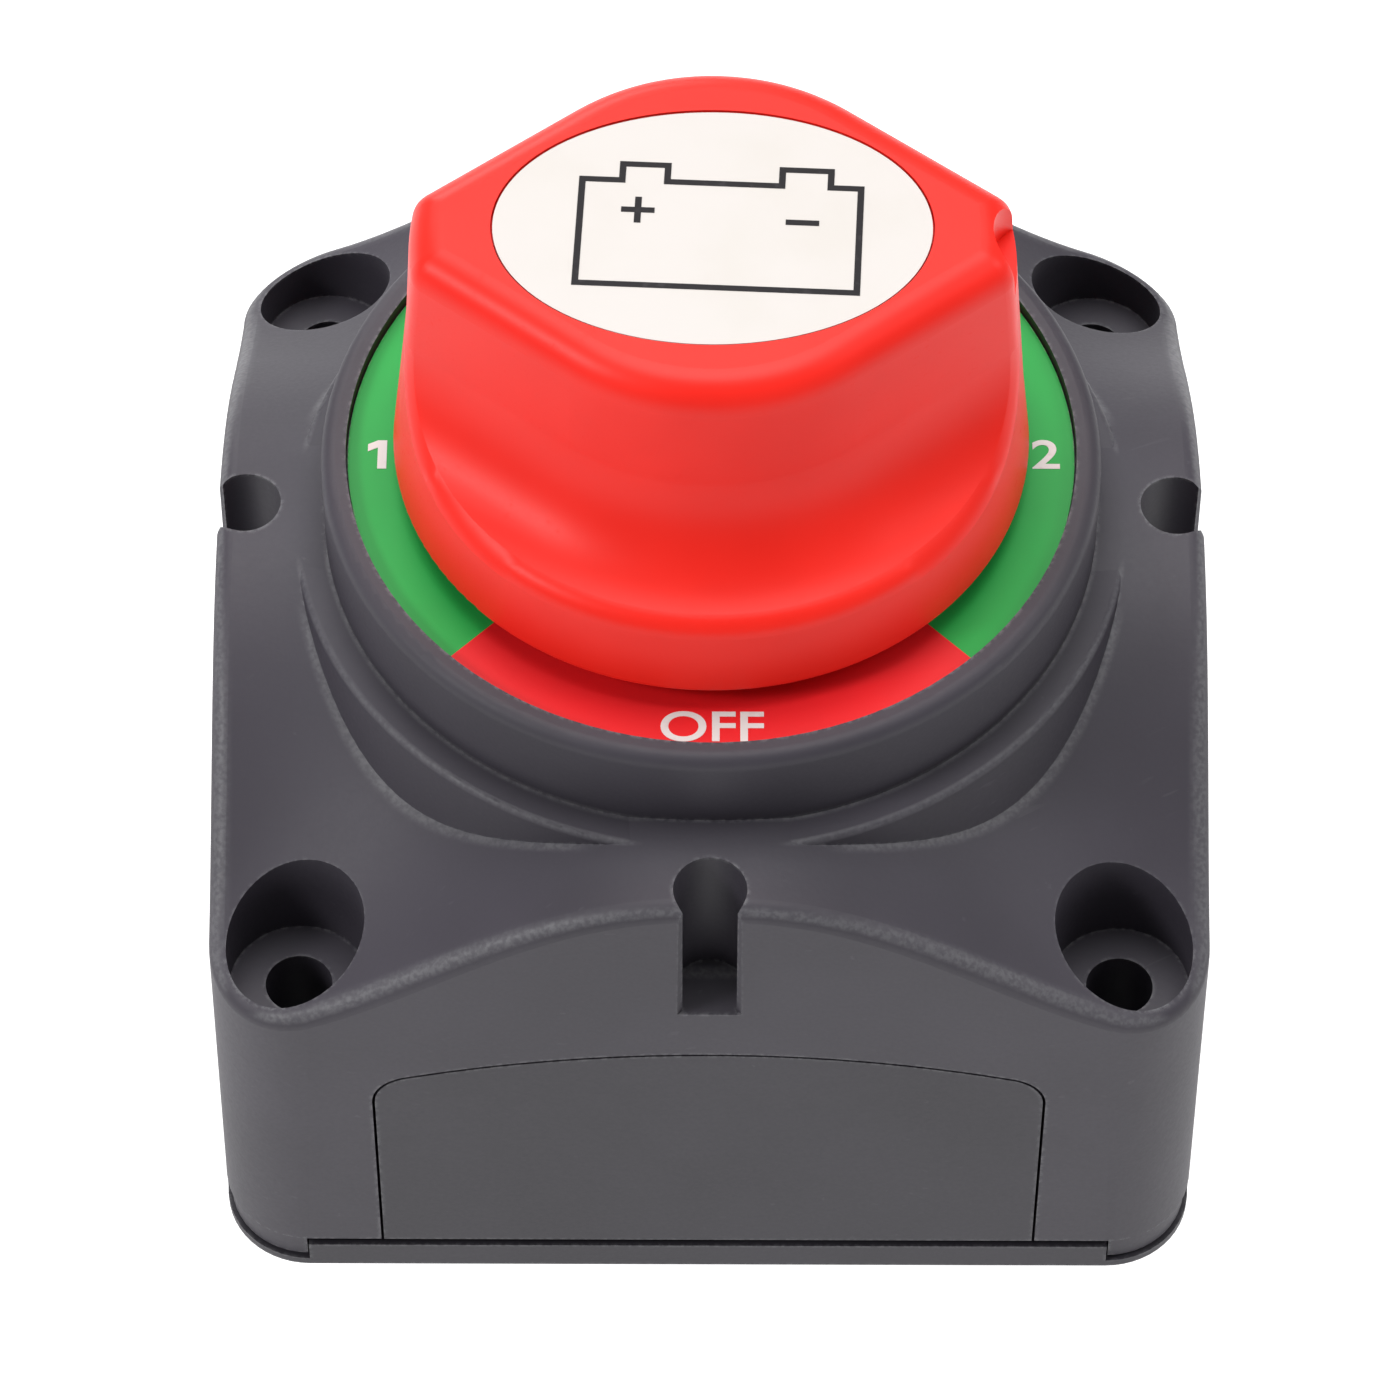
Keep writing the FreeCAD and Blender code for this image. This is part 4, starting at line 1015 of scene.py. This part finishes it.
@dataclass
class CoilSprings:
    """Wound springs in place of the plain sleeves that hold their room."""

    node: str = "contact_springs"
    wire_mm: float = 0.7
    wire_sides: int = 14
    turns: float = 4.0
    steps: int = 28
    smooth_angle: float = 60.0

    def build(self, metal: bpy.types.Material) -> bpy.types.Object:
        """Winds one spring in each sleeve's room and joins them in one piece.

        Args:
            metal: their finish.

        Returns:
            The finished piece.
        """
        coils = [self._coil(low, high) for low, high in self._rooms()]
        Bench.clear()
        for coil in coils:
            coil.select_set(True)
        piece = coils[0]
        bpy.context.view_layer.objects.active = piece
        bpy.ops.object.join()
        piece.name = "wound_springs"
        Bench.dress(piece, metal)
        return piece

    def _rooms(self) -> list[tuple[Vector, Vector]]:
        """Boxes of the node's separate sleeves."""
        mesh = bmesh.new()
        mesh.from_mesh(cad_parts[self.node].data)
        bmesh.ops.remove_doubles(mesh, verts=mesh.verts, dist=WELD)
        left, rooms = set(mesh.verts), []
        while left:
            island, queue = set(), [left.pop()]
            while queue:
                vert = queue.pop()
                island.add(vert)
                near = {edge.other_vert(vert) for edge in vert.link_edges} & left
                left -= near
                queue += near
            spots = [vert.co for vert in island]
            rooms.append((Vector(min(s[i] for s in spots) for i in range(3)),
                          Vector(max(s[i] for s in spots) for i in range(3))))
        mesh.free()
        return sorted(rooms, key=lambda room: (round(room[0].x, 4), room[0].y))

    def _coil(self, low: Vector, high: Vector) -> bpy.types.Object:
        """Winds one spring inside its room."""
        wire = self.wire_mm * MM / 2
        middle, coil_r = (low + high) / 2, (high.x - low.x) / 2 - wire
        Bench.clear()
        bpy.ops.mesh.primitive_circle_add(vertices=self.wire_sides, radius=wire,
                                          location=ORIGIN)
        piece = bpy.context.object
        Bench.open(piece, "VERT")
        bpy.ops.mesh.select_all(action="SELECT")
        bpy.ops.transform.rotate(value=math.radians(90.0), orient_axis="X",
                                 center_override=ORIGIN)
        bpy.ops.transform.translate(value=(coil_r, 0.0, low.z + wire))
        bpy.ops.object.mode_set(mode="OBJECT")
        winding = piece.modifiers.new("winding", "SCREW")
        winding.screw_offset = high.z - low.z - 2 * wire
        winding.angle = math.radians(360.0 * self.turns)
        winding.steps = winding.render_steps = int(self.steps * self.turns)
        Bench.take(piece)
        bpy.ops.object.modifier_apply(modifier=winding.name)
        Bench.open(piece, "EDGE")
        bpy.ops.mesh.select_all(action="SELECT")
        bpy.ops.mesh.region_to_loop()
        bpy.ops.mesh.edge_face_add()
        bpy.ops.mesh.select_all(action="SELECT")
        bpy.ops.transform.translate(value=(middle.x, middle.y, 0.0))
        Bench.close(piece, self.smooth_angle)
        return piece


class Terminals:
    """Contact base, studs, washers, nuts and screws."""

    def build(self) -> None:
        """Dresses the fixed contact works."""
        Bench.coat("contact_base", FilledNylon("phenolic_base", (0.040, 0.030, 0.026),
                                               (0.14, 0.10, 0.08), roughness=0.4).paint())
        tinned = BareMetal("tinned_stud", (0.74, 0.72, 0.66), (0.42, 0.38, 0.32), Lay.TURNED,
                           roughness=0.34).paint()
        steel = BareMetal("stainless_fastener", (0.66, 0.66, 0.65), (0.40, 0.40, 0.40),
                          Lay.TURNED, roughness=0.28, tarnish_share=0.3).paint()
        for node in ("stud_1", "stud_2", "stud_common"):
            Bench.coat(node, tinned)
            stud = ThreadedStud(node).build(tinned)
            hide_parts(node)
            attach(stud, "housing")
            LOG.info("%s: threaded", node)
        for node in ("flat_washers", "lock_washers", "terminal_nuts", "base_screws",
                     "thrust_washer"):
            Bench.coat(node, steel)


# ------------------------------------------------------------------ the studio
@dataclass(frozen=True)
class SoftBox:
    """A rectangular light that faces the object."""

    name: str
    where: Point
    size: tuple[float, float]
    watts: float

    def hang(self, aim: Point) -> None:
        """Hangs the light and turns it towards the aim."""
        lamp = bpy.data.lights.new(self.name, "AREA")
        lamp.shape = "RECTANGLE"
        lamp.size, lamp.size_y = self.size
        lamp.energy = self.watts
        holder = bpy.data.objects.new(self.name, lamp)
        bpy.context.scene.collection.objects.link(holder)
        holder.location = self.where
        ray = Vector(aim) - Vector(self.where)
        holder.rotation_euler = ray.to_track_quat("-Z", "Y").to_euler()


@dataclass
class Studio:
    """White paper, soft lights and the camera."""

    aim: Point = (0.0, 0.0, 29.43 * MM)
    distance: float = 459.8 * MM
    pitch: float = 53.514
    yaw: float = 0.23
    roll: float = 0.375
    lens_mm: float = 166.5
    sensor_mm: float = 36.0
    sight: float = 50.0
    shift: tuple[float, float] = (-0.0071, -0.0488)
    paper_size: float = 6.0
    paper_drop: float = 35.0 * MM
    room_light: float = 0.27
    boxes: tuple[SoftBox, ...] = (
        SoftBox("top_box", (0.0, 0.35, 1.3), (1.0, 1.0), 16.0),
        SoftBox("left_box", (-0.9, -0.35, 0.8), (0.3, 0.3), 6.0),
        SoftBox("right_box", (1.0, 0.1, 0.9), (0.5, 0.5), 3.5),
        SoftBox("back_box", (-0.35, 1.1, 0.55), (0.6, 0.4), 5.0),
    )

    def build(self) -> None:
        """Sets up the whole studio."""
        self._paper()
        self._lights()
        self._camera()
        bpy.context.scene.view_settings.view_transform = "Standard"

    def _paper(self) -> None:
        """Lays the white floor, low enough for the back cover to be pulled off above it."""
        Bench.clear()
        level = (0.0, 0.0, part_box("back_cover")[0].z - self.paper_drop)
        bpy.ops.mesh.primitive_plane_add(size=self.paper_size, location=level)
        paper = bpy.context.object
        paper.name = "paper"
        bpy.ops.object.transform_apply(location=True, rotation=True, scale=True)
        Bench.dress(paper, StudioPaper("white_paper", (0.42, 0.42, 0.42)).paint())

    def _lights(self) -> None:
        """Lights the room and hangs the soft boxes."""
        world = bpy.data.worlds.new("white_room")
        world.use_nodes = True
        sky = world.node_tree.nodes["Background"]
        sky.inputs["Color"].default_value = (1.0, 1.0, 1.0, 1.0)
        sky.inputs["Strength"].default_value = self.room_light
        bpy.context.scene.world = world
        for box in self.boxes:
            box.hang(self.aim)

    def _camera(self) -> None:
        """Sets the camera at the fitted viewing angle."""
        pitch, yaw = math.radians(self.pitch), math.radians(self.yaw)
        ahead = Vector((math.sin(yaw) * math.cos(pitch), math.cos(yaw) * math.cos(pitch),
                        -math.sin(pitch)))
        lens = bpy.data.cameras.new("camera")
        lens.lens = self.lens_mm
        lens.sensor_width = self.sensor_mm
        lens.shift_x, lens.shift_y = self.shift
        lens.clip_end = self.sight
        camera = bpy.data.objects.new("camera", lens)
        bpy.context.scene.collection.objects.link(camera)
        camera.location = Vector(self.aim) - ahead * self.distance
        facing = ahead.to_track_quat("-Z", "Y").to_matrix().to_4x4()
        spin = Matrix.Rotation(math.radians(self.roll), 4, "Z")
        camera.rotation_euler = (facing @ spin).to_euler()
        bpy.context.scene.camera = camera


def main() -> None:
    """Builds every sub-assembly in order, then the studio."""
    logging.basicConfig(level=logging.INFO, format="%(message)s")
    for assembly in (Enclosure(), Dial(), Knob(), TurningGear(), Terminals(), Studio()):
        assembly.build()
        LOG.info("%s built", type(assembly).__name__)


if __name__ == "__main__":
    main()
